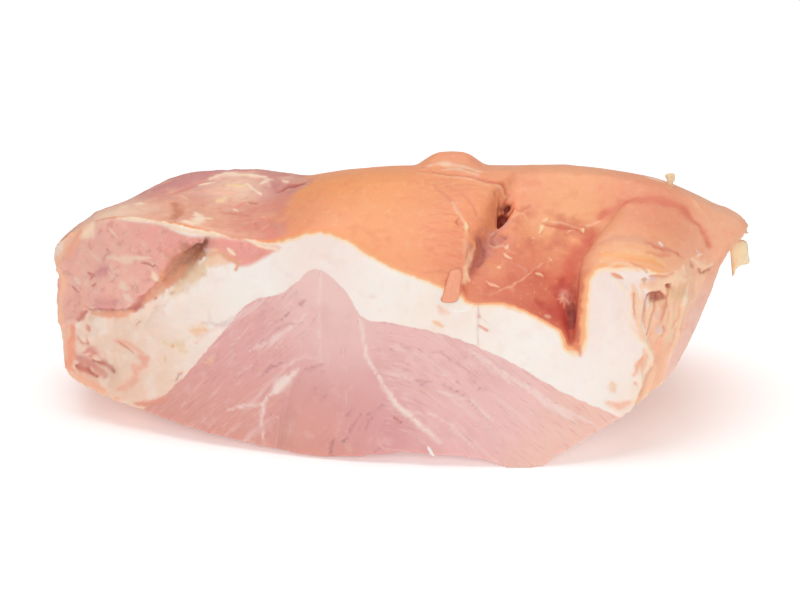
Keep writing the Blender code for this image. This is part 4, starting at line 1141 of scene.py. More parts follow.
palette = {   # what each look is like
    "rimPeach": "F8C1A4", "lumpFold": "CC7E72", "lipTan": "EDAE8E", "cavityPink": "E3A092",
    "cavityRed": "C4675A", "cavityBrown": "C97E6E", "ringPink": "F3B39C", "beigeFat": "EED3B2",
    "crackRed": "C47A6E", "lumpDeep": "DB9694", "muscleLilac": "D2908C", "yellowFat": "F3D2A4",
    "membraneSalmon": "F6BDA4", "crackBrown": "A86E50", "lilacFat": "E9C6C0", "tearSalmon": "F5B99A",
    "tearLine": "E6A283", "tearShade": "E2B090", "tearHole": "C87C68", "spotOrange": "F0A46C",
    "rollAmber": "FDC696", "wispCream": "F8C6A4", "wispYellow": "FDDCB0", "lipShadowMauve": "C87A6C",
    "holeRose": "AC5A52", "valleyRed": "DA7259", "deepRed": "C8584A", "wispRose": "DC9C8A",
    "shredYellow": "F3DCB2", "tanHollow": "CB8E70", "holeShade": "8E3A30", "creamRind": "F8CDA6",
    "tanFat": "E9BE98", "tearOrange": "EFAC88", "tearPeach": "F9CFB0", "tearCream": "FBE4CD",
    "rindDark": "E98A68", "rindLight": "FCC79C", "rindCrumb": "FFDDB8", "silverCream": "F9CBAC",
    "silverRose": "DC8A78", "leanShade": "D08E8E", "fatShade": "EFD6C8", "fatBrightAndGlint": "FDF5F0",
    "lumpShade": "D4938A", "cutRindOuter": "F9B582", "cutRindInner": "FCE0C2", "seam": "F3DED5",
    "paleLean": "F3D8D2", "crack": "CB8A90", "redShade": "C66A58", "paintedSlitShade": "8A4E40",
    "greyFat": "D8C4BE", "pinkFat": "E8A38F", "peachFat": "F3C6A2", "smokeEdge": "F4A98C",
    "creamEdge": "FADCC2", "paleLump": "F0CDBA", "notchRind": "E58C68", "paleRind": "FBC8A2",
    "salmon": "E58C73", "mauveShade": "B8675A", "salmonShade": "E07C64", "greyRind": "D99C88",
    "redFlush": "EC9080", "tanShade": "D58C70", "darkRose": "C06C62", "amber": "F9A25E",
    "apricot": "FFB48A", "salmonRind": "F09A7C", "lipRind": "F3A482", "deepSalmon": "CE6450",
    "valleySalmon": "D87760", "valleyOrange": "E38365", "bulgeAmber": "FFC48A", "rollSalmon": "E79577",
    "tipSalmon": "F9BE9C", "sidePink": "F2CABC", "backRind": "E99F78", "bottomRind": "E8A488",
    "membraneTan": "EBAA90", "membraneCream": "FCD8BC", "membraneRose": "DE8E7C", "muscleRose": "D08A84",
    "leanPale": "F1CEC8", "leanRose": "E9B3B1", "leanDeep": "DFA7A7", "leanTan": "E0A294",
    "leanPeach": "F2C8B8", "leanRight": "EEC4C2", "leanMiddle": "ECBCBA", "fatWhite": "FBF0E9",
    "fatWarm": "F8E6DA", "fatPink": "F8E4DC", "fatCream": "F2D3BE", "fatLow": "EDBFA4",
    "lumpRose": "EFB8AA", "lumpTan": "EFB5A4", "lumpSalmon": "EFA79B",
}


def toneOf(name):
    return np.array(toLinear(palette[name]))


areas = {   # broad colours: place in mm, how far each reaches, and its tone
    "rind": {
        "crown": (-3.0, 32.0, 71.5, 19, "amber"),
        "crown, left": (-14.0, 42.0, 72.5, 13, "amber"),
        "brow": (-14.0, 25.0, 69.0, 9, "apricot"),
        "dome, front": (0.0, 16.0, 61.0, 11, "apricot"),
        "dome, lip": (10.0, 29.0, 69.5, 8, "lipRind"),
        "dome, lip's side": (14.0, 17.0, 60.0, 7, "salmonRind"),
        "dome, left": (-29.0, 30.0, 67.0, 9, "salmonRind"),
        "dome, back": (0.0, 62.0, 72.0, 16, "lipRind"),
        "valley, left": (28.0, 16.0, 54.0, 8, "valleySalmon"),
        "valley": (40.0, 22.0, 54.0, 9, "valleyOrange"),
        "valley, deep": (44.0, 12.0, 45.0, 7, "deepSalmon"),
        "valley, right": (51.0, 26.0, 55.0, 6, "valleySalmon"),
        "valley, top": (47.0, 31.0, 59.0, 5, "bulgeAmber"),
        "bulge": (50.0, 42.0, 68.0, 11, "bulgeAmber"),
        "bulge, left": (38.0, 42.0, 69.0, 7, "salmonRind"),
        "bulge, right": (66.0, 44.0, 70.5, 7, "salmonRind"),
        "bulge, back": (48.0, 62.0, 72.0, 15, "lipRind"),
        "roll, front": (64.0, 17.0, 60.0, 6, "rollAmber"),
        "roll, front right": (76.0, 19.0, 59.0, 6, "rollAmber"),
        "roll": (73.0, 29.0, 66.0, 12, "rollSalmon"),
        "tip": (96.0, 42.0, 58.0, 9, "tipSalmon"),
        "side": (86.0, 21.0, 42.0, 8, "sidePink"),
        "side, low": (82.0, 14.0, 29.0, 9, "sidePink"),
        "side, top": (88.0, 27.0, 52.0, 5, "tipSalmon"),
        "knob": (15.5, 58.0, 77.0, 8, "lipRind"),
        "back": (10.0, 104.0, 40.0, 42, "backRind"),
        "back, left": (-70.0, 92.0, 35.0, 30, "backRind"),
        "back, right": (70.0, 92.0, 35.0, 30, "backRind"),
        "underneath": (0.0, 50.0, 0.0, 30, "bottomRind"),
    },
    "silver": {
        "front band": (-86.0, 46.0, 62.5, 7, "membraneCream"),
        "band, middle": (-72.0, 42.0, 64.0, 7, "membraneTan"),
        "band, right": (-57.0, 40.0, 64.0, 8, "membraneTan"),
        "by the rind": (-43.0, 38.0, 64.0, 6, "membraneRose"),
        "cream": (-50.0, 60.0, 66.5, 6, "membraneCream"),
        "back muscle": (-62.0, 72.0, 68.0, 11, "muscleRose"),
        "back muscle, right": (-34.0, 64.0, 67.0, 7, "muscleRose"),
        "left end": (-104.0, 52.0, 35.0, 14, "membraneTan"),
        "behind the left end": (-90.0, 80.0, 40.0, 22, "muscleRose"),
        "under the left end": (-80.0, 60.0, 6.0, 20, "membraneTan"),
    },
    "lean": {
        "left slope": (-50.0, 15.0, 27.0, 12, "leanRose"),
        "left foot": (-52.0, 15.0, 8.0, 13, "leanTan"),
        "apex": (-23.0, 12.0, 50.0, 9, "leanPale"),
        "under the apex": (-19.0, 10.0, 36.0, 8, "leanPale"),
        "middle": (-20.0, 6.0, 20.0, 10, "leanDeep"),
        "foot": (-25.0, 6.0, 6.0, 9, "leanTan"),
        "shelf": (6.0, 8.0, 34.0, 10, "leanRight"),
        "right": (28.0, 5.0, 20.0, 12, "leanRight"),
        "right foot": (20.0, 3.0, 8.0, 9, "leanMiddle"),
        "below the seam": (-4.0, 4.0, 8.0, 7, "leanDeep"),
        "right end": (50.0, 5.0, 12.0, 11, "leanPeach"),
        "front foot": (37.0, 2.0, 2.0, 5, "leanPeach"),
        "underside": (-10.0, 50.0, 0.0, 30, "leanTan"),
    },
    "fat": {
        "peak": (-24.0, 13.0, 60.0, 9, "fatPink"),
        "right of the peak": (-6.0, 10.0, 50.0, 9, "fatWhite"),
        "middle": (12.0, 8.0, 43.0, 9, "fatWarm"),
        "right": (38.0, 6.0, 33.0, 10, "fatWhite"),
        "pillar": (60.0, 10.0, 42.0, 10, "fatPink"),
        "pillar, foot": (62.0, 6.0, 24.0, 8, "fatWhite"),
        "left": (-45.0, 22.0, 50.0, 10, "fatWhite"),
        "left, low": (-62.0, 25.0, 38.0, 9, "fatWarm"),
        "left end": (-76.0, 28.0, 30.0, 8, "fatCream"),
        "left foot": (-86.0, 30.0, 16.0, 9, "fatCream"),
        "left corner": (-88.0, 32.0, 9.0, 6, "fatLow"),
        "right end": (70.0, 9.0, 17.0, 6, "fatCream"),
    },
    "lump": {
        "middle": (-82.0, 38.0, 50.0, 11, "lumpRose"),
        "low": (-90.0, 40.0, 40.0, 9, "lumpTan"),
        "right": (-68.0, 35.0, 56.0, 8, "lumpSalmon"),
        "tongue": (-48.0, 24.0, 59.0, 8, "lumpSalmon"),
        "left": (-98.0, 42.0, 46.0, 6, "lumpTan"),
        "low right": (-78.0, 36.0, 40.0, 6, "lumpRose"),
    },
}


def blendAreas(kind, p):
    total, colour = 1e-9, 0
    for x, y, z, reach, tone in areas[kind].values():
        away = ((p[:, 0] - x) ** 2 + (p[:, 1] - y) ** 2 + (p[:, 2] - z) ** 2) / reach ** 2
        weight = np.exp(-0.5 * np.minimum(away, 60)) + 1e-4 / (1 + away)
        total = total + weight
        colour = colour + weight[:, None] * toneOf(tone)[None, :]
    return colour / total[:, None]


def drawStrokes(table, s, u, v, share, paint, rise, widen=1.0, fade=1.0):
    place = s["x"], s["y"], s["z"]
    wander = 0.25 * noise(*place, 1.7, 61) + 0.25 * noise(*place, 4.5, 62)
    thin = 1.25 * widen + 0.45 * noise(*place, 3.4, 63) + 0.4 * noise(*place, 1.2, 64)
    for line, half, height, tone, strength in table.values():
        low = np.min(np.array(line), 0) - 3 * half - 2
        high = np.max(np.array(line), 0) + 3 * half + 2
        near = (u > low[0]) & (u < high[0]) & (v > low[1]) & (v < high[1]) & (share > 0.02)
        off, along = nearLine(line, u[near] + wander[near], v[near] - wander[near])
        taper = 0.45 + 0.55 * np.sin(math.pi * np.clip(along * 0.9 + 0.05, 0, 1))
        mask = np.exp(-(off / (half * taper * thin[near])) ** 2) * share[near]
        rise[near] += height * mask
        amount = np.clip(strength * fade * mask * 1.1, 0, 1)[:, None]
        old = paint[near]
        colour = old[:, :3] * (1 - amount) + toneOf(tone)[None, :3] * amount
        alpha = 1 - (1 - old[:, 3:]) * (1 - amount)
        paint[near] = np.concatenate((colour, alpha), 1)


def grainOf(s):
    # coordinates along and across the fibres of the lean
    x, z = s["x"], s["z"]
    leftAcross = 0.72 * (x + 66) - 0.69 * (z - 17)
    leftAlong = 0.69 * (x + 66) + 0.72 * (z - 17)
    sag = 6 * np.exp(-((x - 6) / 14) ** 2)
    rightAcross = z + 0.5 * x + 0.004 * np.maximum(x - 5, 0) ** 2 - sag
    rightAlong = x - 0.45 * z
    toRight = ease(x + 0.16 * (z - 20), -13, -6)
    toMiddle = ease(x - 0.25 * (z - 30), -31, -24)
    across = leftAcross * (1 - toMiddle) + toMiddle * ((x * 1.0) * (1 - toRight) + rightAcross * toRight)
    along = leftAlong * (1 - toMiddle) + toMiddle * (z * (1 - toRight) + rightAlong * toRight)
    return along, across


def addRelief(body):
    mesh = body.data
    s = surfaceOf(mesh)
    x, y, z = s["x"], s["y"], s["z"]
    rise = np.zeros(len(x))
    face, torn = s["onFace"], s["torn"]
    lump = ease(s["lumpSide"], -0.5, 1.0) * face * (x < -30)
    lean = ease(s["leanSide"], -0.3, 0.5) * face * (1 - torn)
    leftFat = face * (1 - ease(x, -62, -50)) * (1 - lump) * (1 - lean)
    cell, height = relief["faceSwell"]
    rise += height * face * fractal(x, y, z, cell, 2, 1)
    cell, height = relief["lumpSwell"]
    rise += height * lump * (fractal(x, y, z, cell, 3, 2) + 0.35 * (1 - ease(s["lumpSide"], 0, 4)))
    cell, height = relief["leftFatSwell"]
    rise += height * leftFat * fractal(x, y, z * 1.4, cell, 4, 3)
    along, across = grainOf(s)
    cell, height = relief["fibre"]
    fibres = fractal(along / 9, across, 0 * x, cell, 2, 4)
    fibres = fibres + 0.8 * fractal(along / 6, across, 0 * x, cell * 2.4, 2, 5)
    s["streaks"] = 0.12 + 0.88 * np.clip(ease(x, -9, -2) + 1 - ease(x, -36, -26), 0, 1)
    rise += height * lean * fibres * s["streaks"]
    cell, height = relief["rindSwell"]
    skin = (1 - face) * (1 - s["silver"])
    rise += height * skin * fractal(x, y, z, cell, 2, 6)
    cell, height = relief["rindPucker"]
    lipFold = ease(x, 4, 12) * (1 - ease(x - domeEdge(y), -1, 1)) * (1 - ease(y, 40, 48))
    folds1 = ridges(x * 0.35 + y * 0.2, y * 1.2 + z * 0.8 + x * 0.35, 0 * x, 1.9, 2, 7)
    rise += 0.42 * skin * lipFold * (folds1 - 0.5)
    rollFold = ease(x - rollEdge(y), 0, 3) * (1 - ease(y, 44, 52))
    folds2 = ridges(x * 0.25, y * 0.9 + z * 0.3 - 0.012 * (x - 72) ** 2, 0 * x, 3.2, 2, 8)
    rise += 0.30 * skin * rollFold * (folds2 - 0.5)
    rise += height * skin * fractal(x, y, z, cell, 3, 9)
    cell, height = relief["membrane"]
    sheets = 0.6 * fractal(x, y * 1.3, z, cell, 3, 10) + 0.7 * ridges(x, y * 1.5, z, cell * 0.8, 3, 11)
    rise += height * s["silver"] * (sheets - 0.35)
    cell, height = relief["valleyFold"]
    rise += height * s["valley"] * (ridges(x * 0.8, y * 1.5, z * 0.6, cell, 3, 12) - 0.5)
    cell, height = relief["tornRidge"]
    shreds = ridges((x - 0.28 * z) * 1.4 + 0.8 * noise(x, y, z, 5.0, 19), 0 * x, z * 0.22, cell, 3, 13)
    s["shreds"] = np.clip(0.85 * shreds + 0.12 * fractal(x, 0 * x, z * 0.6, 5.0, 2, 14) + 0.06, 0, 1)
    rise += height * torn * (s["shreds"] - 0.45) * 1.8
    side = s["side"]
    rise += 0.35 * side * fractal(x * 1.5, y, z * 0.5, 5.0, 3, 15)
    paint = np.zeros((len(x), 4))
    inLean = face * ease(s["leanSide"], 0.2, 0.9) * (1 - torn)
    for name, dash in scatterDashes().items():
        share = lump if name.startswith("lump") else leftFat if name.startswith("low fat") else inLean
        drawStrokes({name: dash}, s, x, z, share, paint, rise, 0.75, 0.6)
    drawStrokes(strokes | landMarks("knife", ["whole face"]), s, x, z, face, paint, rise, 0.85, 0.85)
    closeUps = [window for window in windows if window != "whole face"]
    drawStrokes(landMarks("knife", closeUps), s, x, z, face, paint, rise)
    upward = (1 - face) * ease(s["n"][:, 2], -0.1, 0.25)
    drawStrokes(topStrokes, s, x, y, upward, paint, rise, 0.8)
    drawStrokes(landMarks("skin", closeUps), s, x, y, upward, paint, rise)
    paint[:, :3] = paint[:, :3] / np.maximum(paint[:, 3:], 1e-3)
    rise = rise * ease(z, 0.0, 2.0)
    p = s["p"] + s["n"] * rise[:, None]
    p[:, 2] = np.maximum(p[:, 2], 0.0)
    setPoints(mesh, p)
    s["skinDepth"] = depthUnderSkin(s)
    s["along"], s["across"] = along, across
    domeFold = ease(x, -12, 8) * (1 - ease(x - domeEdge(y), -1, 1)) * (1 - ease(y, 18, 34))
    s["wrinkles"] = np.clip(lipFold + 0.7 * domeFold + 0.6 * rollFold, 0, 1) * (1 - face)
    s["marks"] = paint
    return s


def storeLooks(mesh, s):
    p = s["p"]
    for kind in areas:
        storeColour(mesh, kind + "Tone", blendAreas(kind, p))
    storeColour(mesh, "marks", s["marks"])
    storeVector(mesh, "sides", (s["leanSide"], s["lumpSide"], s["skinDepth"]))
    storeVector(mesh, "shares", (s["onFace"], s["torn"], s["silver"]))
    storeVector(mesh, "grain", (s["along"], s["across"], s["shreds"]))
    storeVector(mesh, "zones", (s["valley"], s["side"], s["under"]))
    storeVector(mesh, "lines", (s["streaks"], s["wrinkles"], 0 * s["x"]))


surface = addRelief(body)
storeLooks(body.data, surface)
print("relief and looks are laid on", len(body.data.vertices), "points")


porkLook = {
    "rindRoughness": 0.46,
    "leanRoughness": 0.4,
    "ior": 1.4,                   # water and fat
    "specular": 0.4,
    "scatter": 0.42,
    "scatterScale": 0.0034,       # m
    "scatterRadius": (1.0, 0.5, 0.35),
    "bump": 0.7,
    "clouds": {                   # size of the blobs in mm, octaves, roughness of the octaves
        "wander": (3.2, 4.0, 0.55),
        "pore": (0.55, 3.0, 0.55),
        "crumb": (1.3, 2.0, 0.5),
        "grit": (1.7, 3.0, 0.55),
        "small": (2.4, 4.0, 0.55),
        "middle": (4.4, 4.0, 0.55),
        "broad": (8.0, 2.5, 0.5),
    },
    "wrinkle": (0.16, 0.75, 0.75),  # how far a wrinkle is stretched along x, y and z
    "wrinkleGap": 1.1,              # mm from one wrinkle to the next
    "fibre": 1.25,                  # fibres per mm, drawn about twice as coarse as they are, to show
    "bundle": 0.32,                 # bundles of fibres per mm
}


def perMm(size):
    return 1000.0 / size


def layOver(tree, under, over, mask, low, high, most=1.0):
    # lays one colour over another where the mask runs from low to high
    share = addNode(tree, "ShaderNodeMapRange",
                    {"interpolation_type": "SMOOTHSTEP", "From Min": low, "From Max": high, "To Max": most},
                    {"Value": mask}).outputs["Result"]
    colours, links = {"data_type": "RGBA"}, {0: share, 6: under}
    if isinstance(over, str):
        colours[7] = toLinear(palette[over])
    else:
        links[7] = over
    return addNode(tree, "ShaderNodeMix", colours, links).outputs[2]


product = {"operation": "MULTIPLY"}
spread = {"operation": "MULTIPLY_ADD"}   # a value and a share of another


def porkMaterial():
    # smoked, cured pork: pale pink lean, waxy back fat and smoke-coloured rind, all moist and a little
    # translucent
    material = bpy.data.materials.new("smokedCuredPork")
    material.use_nodes = True
    tree = material.node_tree
    shader = tree.nodes["Principled BSDF"]
    place = addNode(tree, "ShaderNodeTexCoord").outputs["Object"]
    at = {}
    for name in ("sides", "shares", "grain", "zones", "lines"):
        stored = addNode(tree, "ShaderNodeAttribute", {"attribute_name": name}).outputs["Vector"]
        parts = addNode(tree, "ShaderNodeSeparateXYZ", None, {"Vector": stored}).outputs
        at[name] = [parts[axis] for axis in "XYZ"]
    toLean, toLump, underSkin = at["sides"]
    onFace, tornHere, silverHere = at["shares"]
    along, across, shreds = at["grain"]
    inValley, onSide, beneath = at["zones"]
    streaks, wrinkles, _ = at["lines"]
    tone = {kind: addNode(tree, "ShaderNodeAttribute", {"attribute_name": kind + "Tone"}).outputs["Color"]
            for kind in areas}
    cloud = {}
    for name, (size, detail, rough) in porkLook["clouds"].items():
        settings = {"Scale": perMm(size), "Detail": detail, "Roughness": rough}
        cloud[name] = addNode(tree, "ShaderNodeTexNoise", settings, {"Vector": place}).outputs["Fac"]
    centred = {"operation": "SUBTRACT", 1: 0.5}
    wander = addNode(tree, "ShaderNodeMath", centred, {0: cloud["wander"]}).outputs[0]

    # lean: fibres run along the grain, about eight times longer than wide
    run = addNode(tree, "ShaderNodeMath", product | {1: 0.13}, {0: along}).outputs[0]
    grain = {"X": run, "Y": across, "Z": wander}
    fibres = addNode(tree, "ShaderNodeCombineXYZ", None, grain).outputs["Vector"]
    fine = addNode(tree, "ShaderNodeTexNoise", {"Scale": porkLook["fibre"], "Detail": 3.0, "Roughness": 0.6},
                   {"Vector": fibres}).outputs["Fac"]
    coarse = {"Scale": porkLook["bundle"], "Detail": 2.0, "Roughness": 0.5}
    bundles = addNode(tree, "ShaderNodeTexNoise", coarse, {"Vector": fibres}).outputs["Fac"]
    streaked = layOver(tree, tone["lean"], "paleLean", bundles, 0.52, 0.74, 0.5)
    streaked = layOver(tree, streaked, "paleLean", fine, 0.55, 0.74, 0.42)
    streaked = layOver(tree, streaked, "leanShade", fine, 0.46, 0.28, 0.36)
    lean = layOver(tree, tone["lean"], streaked, streaks, 0.0, 1.0)
    lean = layOver(tree, lean, "leanShade", cloud["broad"], 0.5, 0.75, 0.2)
    lean = layOver(tree, lean, "leanPale", cloud["middle"], 0.52, 0.74, 0.3)

    # back fat: waxy and nearly white, with faint warm clouds
    fat = layOver(tree, tone["fat"], "fatShade", cloud["middle"], 0.5, 0.75, 0.3)
    fat = layOver(tree, fat, "fatBrightAndGlint", cloud["broad"], 0.48, 0.7, 0.3)

    # end muscle: blotched, cut across its short fibres
    lump = layOver(tree, tone["lump"], "paleLump", cloud["middle"], 0.5, 0.72, 0.5)
    lump = layOver(tree, lump, "lumpShade", cloud["small"], 0.48, 0.32, 0.5)

    # torn tissue: cream shreds over orange hollows
    tear = addNode(tree, "ShaderNodeMath", spread | {1: 0.35}, {0: wander, 2: shreds}).outputs[0]
    torn = layOver(tree, tone["fat"], "tearPeach", tear, -1.0, 0.0)
    torn = layOver(tree, torn, "tearSalmon", tear, 0.56, 0.34, 0.6)
    torn = layOver(tree, torn, "tearCream", tear, 0.62, 0.8, 0.7)

    # smoked rind: amber to salmon, clouded by the smoke, with pores, fine wrinkles and a few crumbs of fat
    rind = layOver(tree, tone["rind"], "rindDark", cloud["middle"], 0.48, 0.72, 0.3)
    rind = layOver(tree, rind, "rindLight", cloud["small"], 0.52, 0.7, 0.2)
    stretched = addNode(tree, "ShaderNodeMapping", {"Scale": porkLook["wrinkle"]}, {"Vector": place})
    wrinkled = {"Scale": perMm(porkLook["wrinkleGap"]), "Detail": 2.0, "Roughness": 0.5, "Distortion": 0.35}
    stretched = stretched.outputs["Vector"]
    folded = addNode(tree, "ShaderNodeTexNoise", wrinkled, {"Vector": stretched}).outputs["Fac"]
    creased = addNode(tree, "ShaderNodeMath", product, {0: wrinkles, 1: folded}).outputs[0]
    sunken = addNode(tree, "ShaderNodeMath", product, {0: inValley, 1: cloud["broad"]}).outputs[0]
    rind = layOver(tree, rind, "salmon", creased, 0.48, 0.66, 0.3)
    rind = layOver(tree, rind, "deepSalmon", sunken, 0.45, 0.7, 0.55)
    rind = layOver(tree, rind, "rindCrumb", cloud["crumb"], 0.70, 0.76, 0.4)
    silver = layOver(tree, tone["silver"], "silverCream", cloud["broad"], 0.38, 0.8, 0.55)
    silver = layOver(tree, silver, "silverRose", cloud["small"], 0.48, 0.26, 0.4)
    skin = layOver(tree, rind, silver, silverHere, 0.0, 1.0)

    # on the knife face: which look lies where
    leanEdge = addNode(tree, "ShaderNodeMath", spread | {1: 1.5}, {0: wander, 2: toLean}).outputs[0]
    lumpEdge = addNode(tree, "ShaderNodeMath", spread | {1: 1.3}, {0: wander, 2: toLump}).outputs[0]
    rindEdge = addNode(tree, "ShaderNodeMath", spread | {1: 0.5}, {0: wander, 2: underSkin}).outputs[0]
    tornEdge = addNode(tree, "ShaderNodeMath", spread | {1: 0.5}, {0: wander, 2: tornHere}).outputs[0]
    sideEdge = addNode(tree, "ShaderNodeMath", spread | {1: 0.4}, {0: wander, 2: onSide}).outputs[0]
    face = layOver(tree, fat, lean, leanEdge, -0.12, 0.4)
    cutRind = layOver(tree, tone["rind"], "cutRindOuter", rindEdge, 0.05, 0.4)
    cutRind = layOver(tree, cutRind, "cutRindInner", rindEdge, 0.45, 0.85)
    face = layOver(tree, face, cutRind, rindEdge, 1.3, 0.85)
    face = layOver(tree, face, "pinkFat", lumpEdge, -1.4, 0.1, 0.7)
    face = layOver(tree, face, lump, lumpEdge, -0.3, 0.5)
    face = layOver(tree, face, torn, tornEdge, 0.25, 0.6)
    face = layOver(tree, face, rind, sideEdge, 0.3, 0.7)
    colour = layOver(tree, skin, face, onFace, 0.0, 1.0)

    # the underside is lean in the middle
    under = layOver(tree, colour, lean, toLean, 2.0, 6.0)
    colour = layOver(tree, colour, under, beneath, 0.0, 1.0)
    marks = addNode(tree, "ShaderNodeAttribute", {"attribute_name": "marks"}).outputs
    ragged = addNode(tree, "ShaderNodeMath", spread | {1: 1.2, 2: 1.0}, {0: wander}).outputs[0]
    drawn = addNode(tree, "ShaderNodeMath", product, {0: marks["Alpha"], 1: ragged}).outputs[0]
    colour = layOver(tree, colour, marks["Color"], drawn, 0.0, 1.0)
    tree.links.new(colour, shader.inputs["Base Color"])

    # wetter on the lean than on fat and rind
    isLean = addNode(tree, "ShaderNodeMapRange", {"From Min": -0.12, "From Max": 0.4}, {"Value": leanEdge})
    onLean = addNode(tree, "ShaderNodeMath", product, {0: onFace, 1: isLean.outputs["Result"]}).outputs[0]
    rough = addNode(tree, "ShaderNodeMapRange",
                    {"To Min": porkLook["rindRoughness"], "To Max": porkLook["leanRoughness"]},
                    {"Value": onLean}).outputs["Result"]
    rough = addNode(tree, "ShaderNodeMath", spread | {1: 0.25}, {0: wander, 2: rough}).outputs[0]
    tree.links.new(rough, shader.inputs["Roughness"])
    shader.inputs["IOR"].default_value = porkLook["ior"]
    shader.inputs["Specular IOR Level"].default_value = porkLook["specular"]
    shader.inputs["Subsurface Weight"].default_value = porkLook["scatter"]
    shader.inputs["Subsurface Radius"].default_value = porkLook["scatterRadius"]
    shader.inputs["Subsurface Scale"].default_value = porkLook["scatterScale"]

    # fibres stand up on the lean, pores and wrinkles on the rind
    coarsePores, finePores = cloud["grit"], cloud["pore"]
    pores = addNode(tree, "ShaderNodeMath", spread | {1: 1.5}, {0: coarsePores, 2: finePores}).outputs[0]
    pores = addNode(tree, "ShaderNodeMath", spread | {1: 2.4}, {0: creased, 2: pores}).outputs[0]
    skinHeight = addNode(tree, "ShaderNodeMath", product | {1: 0.1}, {0: pores}).outputs[0]
    raised = addNode(tree, "ShaderNodeMath", product, {0: fine, 1: streaks}).outputs[0]
    leanHeight = addNode(tree, "ShaderNodeMath", product | {1: 0.3}, {0: raised}).outputs[0]
    heights = {0: onLean, 2: skinHeight, 3: leanHeight}
    height = addNode(tree, "ShaderNodeMix", {"data_type": "FLOAT"}, heights).outputs[0]
    deep = {"Strength": porkLook["bump"], "Distance": 0.001}
    bump = addNode(tree, "ShaderNodeBump", deep, {"Height": height})
    tree.links.new(bump.outputs["Normal"], shader.inputs["Normal"])
    return material


shredLooks = {   # roughness, scatter, size of the clouds in mm, how much they show
    "backFatShred": (0.42, 0.12, 1.8, 0.45),        # soft back fat: waxy, cream, half clear at thin edges
    "smokedRindShred": (0.5, 0.1, 1.4, 0.06),      # a pared scrap of rind: drier, salmon
}


def shredMaterial(name):
    rough, scatter, size, amount = shredLooks[name]
    material = bpy.data.materials.new(name)
    material.use_nodes = True
    tree = material.node_tree
    shader = tree.nodes["Principled BSDF"]
    place = addNode(tree, "ShaderNodeTexCoord").outputs["Object"]
    tone = addNode(tree, "ShaderNodeAttribute", {"attribute_name": "shredTone"}).outputs["Color"]
    blobs = {"Scale": perMm(size), "Detail": 3.0}
    clouds = addNode(tree, "ShaderNodeTexNoise", blobs, {"Vector": place}).outputs["Fac"]
    colour = layOver(tree, tone, "fatBrightAndGlint", clouds, 0.5, 0.7, amount)
    colour = layOver(tree, colour, "tearPeach", clouds, 0.46, 0.3, amount)
    tree.links.new(colour, shader.inputs["Base Color"])
    bump = addNode(tree, "ShaderNodeBump", {"Strength": 0.5, "Distance": 0.0005}, {"Height": clouds})
    tree.links.new(bump.outputs["Normal"], shader.inputs["Normal"])
    shader.inputs["Roughness"].default_value = rough
    shader.inputs["IOR"].default_value = 1.42
    shader.inputs["Subsurface Weight"].default_value = scatter
    shader.inputs["Subsurface Radius"].default_value = porkLook["scatterRadius"]
    shader.inputs["Subsurface Scale"].default_value = 0.0008
    return material


flapPixels = [(441, 301), (449, 303), (457, 301), (460, 293), (461, 284), (462, 276), (461, 270), (455, 269),
              (450, 272), (446, 284), (443, 294)]   # the flap's outline in the 800 by 600 frame
flapLift = np.array((0, -0.3, 0.15))   # mm off the skin
flakes = {   # outlines in mm; the last two values are how thick it is and how far it bulges
    "rindFlap": {"look": "smokedRindShred", "slot": "fat_and_smoked_rind", "tone": "lipRind", "outline": [
        onSkin(column, row) + flapLift for column, row in flapPixels],
        "thickness": 0.7, "bulge": 0.35},
    "standingShred": {"look": "backFatShred", "slot": "fat_and_smoked_rind", "tone": "shredYellow",
                      "outline": [
        (79.6, 52.6, 68.2), (79.9, 52.6, 70.4), (79.1, 52.6, 72.4), (80.4, 52.6, 73.2), (82.0, 52.6, 72.8),
        (82.0, 52.6, 70.8), (81.5, 52.6, 69.8), (82.2, 52.6, 68.0)], "thickness": 0.8, "bulge": 0.1},
    "hangingFat": {"look": "backFatShred", "slot": "fat_shred", "tone": "shredYellow", "outline": [
        (98.6, 46.0, 53.2), (101.2, 46.4, 54.2), (103.6, 46.8, 53.4), (104.2, 46.9, 50.0),
        (104.6, 46.6, 46.8),
        (101.8, 46.2, 46.0), (100.4, 45.9, 44.8), (99.7, 45.7, 42.8), (99.3, 45.8, 45.0), (99.0, 46.2, 48.0)],
        "thickness": 1.6, "bulge": 0.3},
    "bottomShred": {"look": "backFatShred", "slot": "fat_and_smoked_rind", "tone": "fatWhite", "outline": [
        (7.2, 3.4, 7.0), (8.2, 2.2, 6.2), (9.6, 1.2, 4.4), (10.4, 1.0, 3.2), (9.6, 1.3, 3.3), (8.4, 1.9, 4.6),
        (7.2, 3.0, 5.8)],
        "thickness": 0.7, "bulge": 0.1},
}


def curveThrough(points, gap, closed=False):
    # a smooth line through the points, with one every gap mm
    points = np.array(points, float)
    if closed:
        padded = np.concatenate((points[-1:], points, points[:2]))
    else:
        padded = np.concatenate((2 * points[:1] - points[1:2], points, 2 * points[-1:] - points[-2:-1]))
    line = []
    for a, b, c, d in zip(padded, padded[1:], padded[2:], padded[3:]):
        t = np.linspace(0, 1, max(2, int(np.linalg.norm(c - b) / gap)), endpoint=False)[:, None]
        square, cube = 2 * a - 5 * b + 4 * c - d, 3 * b - a - 3 * c + d
        line.append(0.5 * (2 * b + (c - a) * t + square * t ** 2 + cube * t ** 3))
    return np.concatenate(line if closed else line + [points[-1:]])


def unit(vectors):
    return vectors / np.maximum(np.linalg.norm(vectors, axis=-1, keepdims=True), 1e-9)


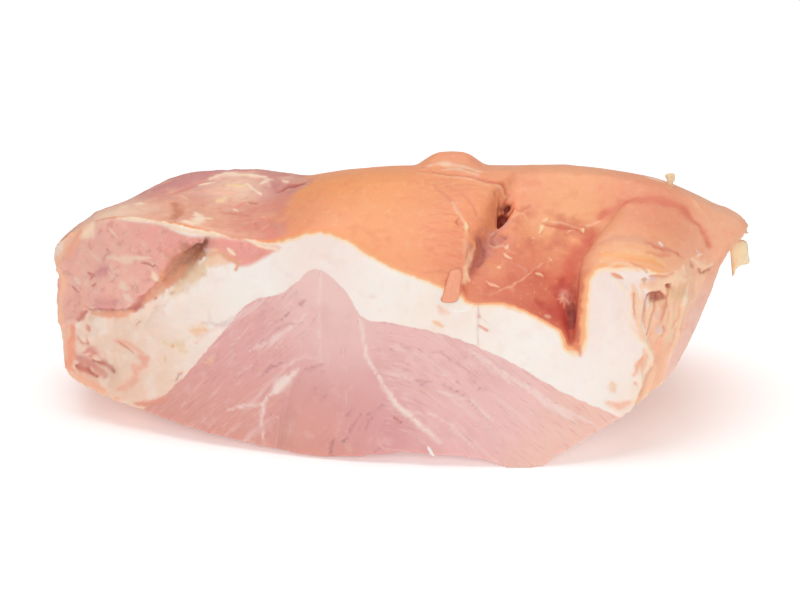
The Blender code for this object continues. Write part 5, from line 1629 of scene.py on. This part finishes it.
def flakeShape(outline, thickness, bulge):
    # a thin closed flake: rings from its middle to its outline, thinner towards the edge
    loop = curveThrough(outline, 0.35, closed=True)
    count, rings = len(loop), 9
    middle = loop.mean(0)
    normal = unit(np.cross(loop - middle, np.roll(loop, -1, 0) - middle).sum(0))
    normal = normal if normal[1] < 0 else -normal
    points, faces = [middle + normal * (bulge + thickness / 2), middle + normal * (bulge - thickness / 2)], []
    for side in (1, -1):
        for i in range(1, rings):
            out = i / rings
            ring = middle + (loop - middle) * out
            wavy = 0.28 * noise(*ring.T, 1.8, 53)
            lift = bulge * (1 - out ** 2) + wavy * out + side * thickness / 2 * math.sqrt(1 - out ** 4)
            points.extend(ring + normal * np.reshape(lift, (-1, 1)))
    points.extend(loop + normal * (0.28 * noise(*loop.T, 1.8, 53))[:, None])
    rim = 2 + 2 * (rings - 1) * count
    for side in (0, 1):
        starts = [2 + (side * (rings - 1) + i) * count for i in range(rings - 1)] + [rim]
        for j in range(count):
            k = (j + 1) % count
            fan = (side, starts[0] + j, starts[0] + k)
            faces.append(fan if side == 0 else fan[::-1])
            for inner, outer in zip(starts, starts[1:]):
                quad = (inner + j, outer + j, outer + k, inner + k)
                faces.append(quad if side == 0 else quad[::-1])
    return np.array(points), faces


def makePiece(name, shapes, look):
    points = np.concatenate([shape[0] for shape in shapes])
    faces, tones, done = [], [], 0
    for shapePoints, shapeFaces, tone in shapes:
        faces.extend(tuple(i + done for i in face) for face in shapeFaces)
        tones.append(np.tile(toneOf(tone), (len(shapePoints), 1)))
        done += len(shapePoints)
    mesh = bpy.data.meshes.new(name)
    mesh.from_pydata(((points - origin) * mm).tolist(), [], faces)
    bm = bmesh.new()
    bm.from_mesh(mesh)
    bmesh.ops.recalc_face_normals(bm, faces=bm.faces)
    bm.to_mesh(mesh)
    bm.free()
    storeColour(mesh, "shredTone", np.concatenate(tones))
    mesh.shade_smooth()
    piece = bpy.data.objects.new(name, mesh)
    bpy.context.scene.collection.objects.link(piece)
    mesh.materials.append(materials[look])
    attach(piece, "root")
    print(name, "has", len(mesh.polygons), "faces")
    return piece


materials = {name: shredMaterial(name) for name in shredLooks}
for name, flake in flakes.items():
    shape = flakeShape(flake["outline"], flake["thickness"], flake["bulge"])
    piece = makePiece(name, [(*shape, flake["tone"])], flake["look"])
    if name == "hangingFat":
        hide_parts("fat_scrap")
print("the loose bits lie on the knuckle")

bodyMesh = body.data
setPoints(bodyMesh, (pointsOf(bodyMesh) - origin) * mm)
bodyMesh.shade_smooth()
bodyMesh.materials.clear()
bodyMesh.materials.append(porkMaterial())
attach(body, "root")
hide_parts("main_muscle", "end_muscle", "fat_and_rind")
print("the knuckle is finished")
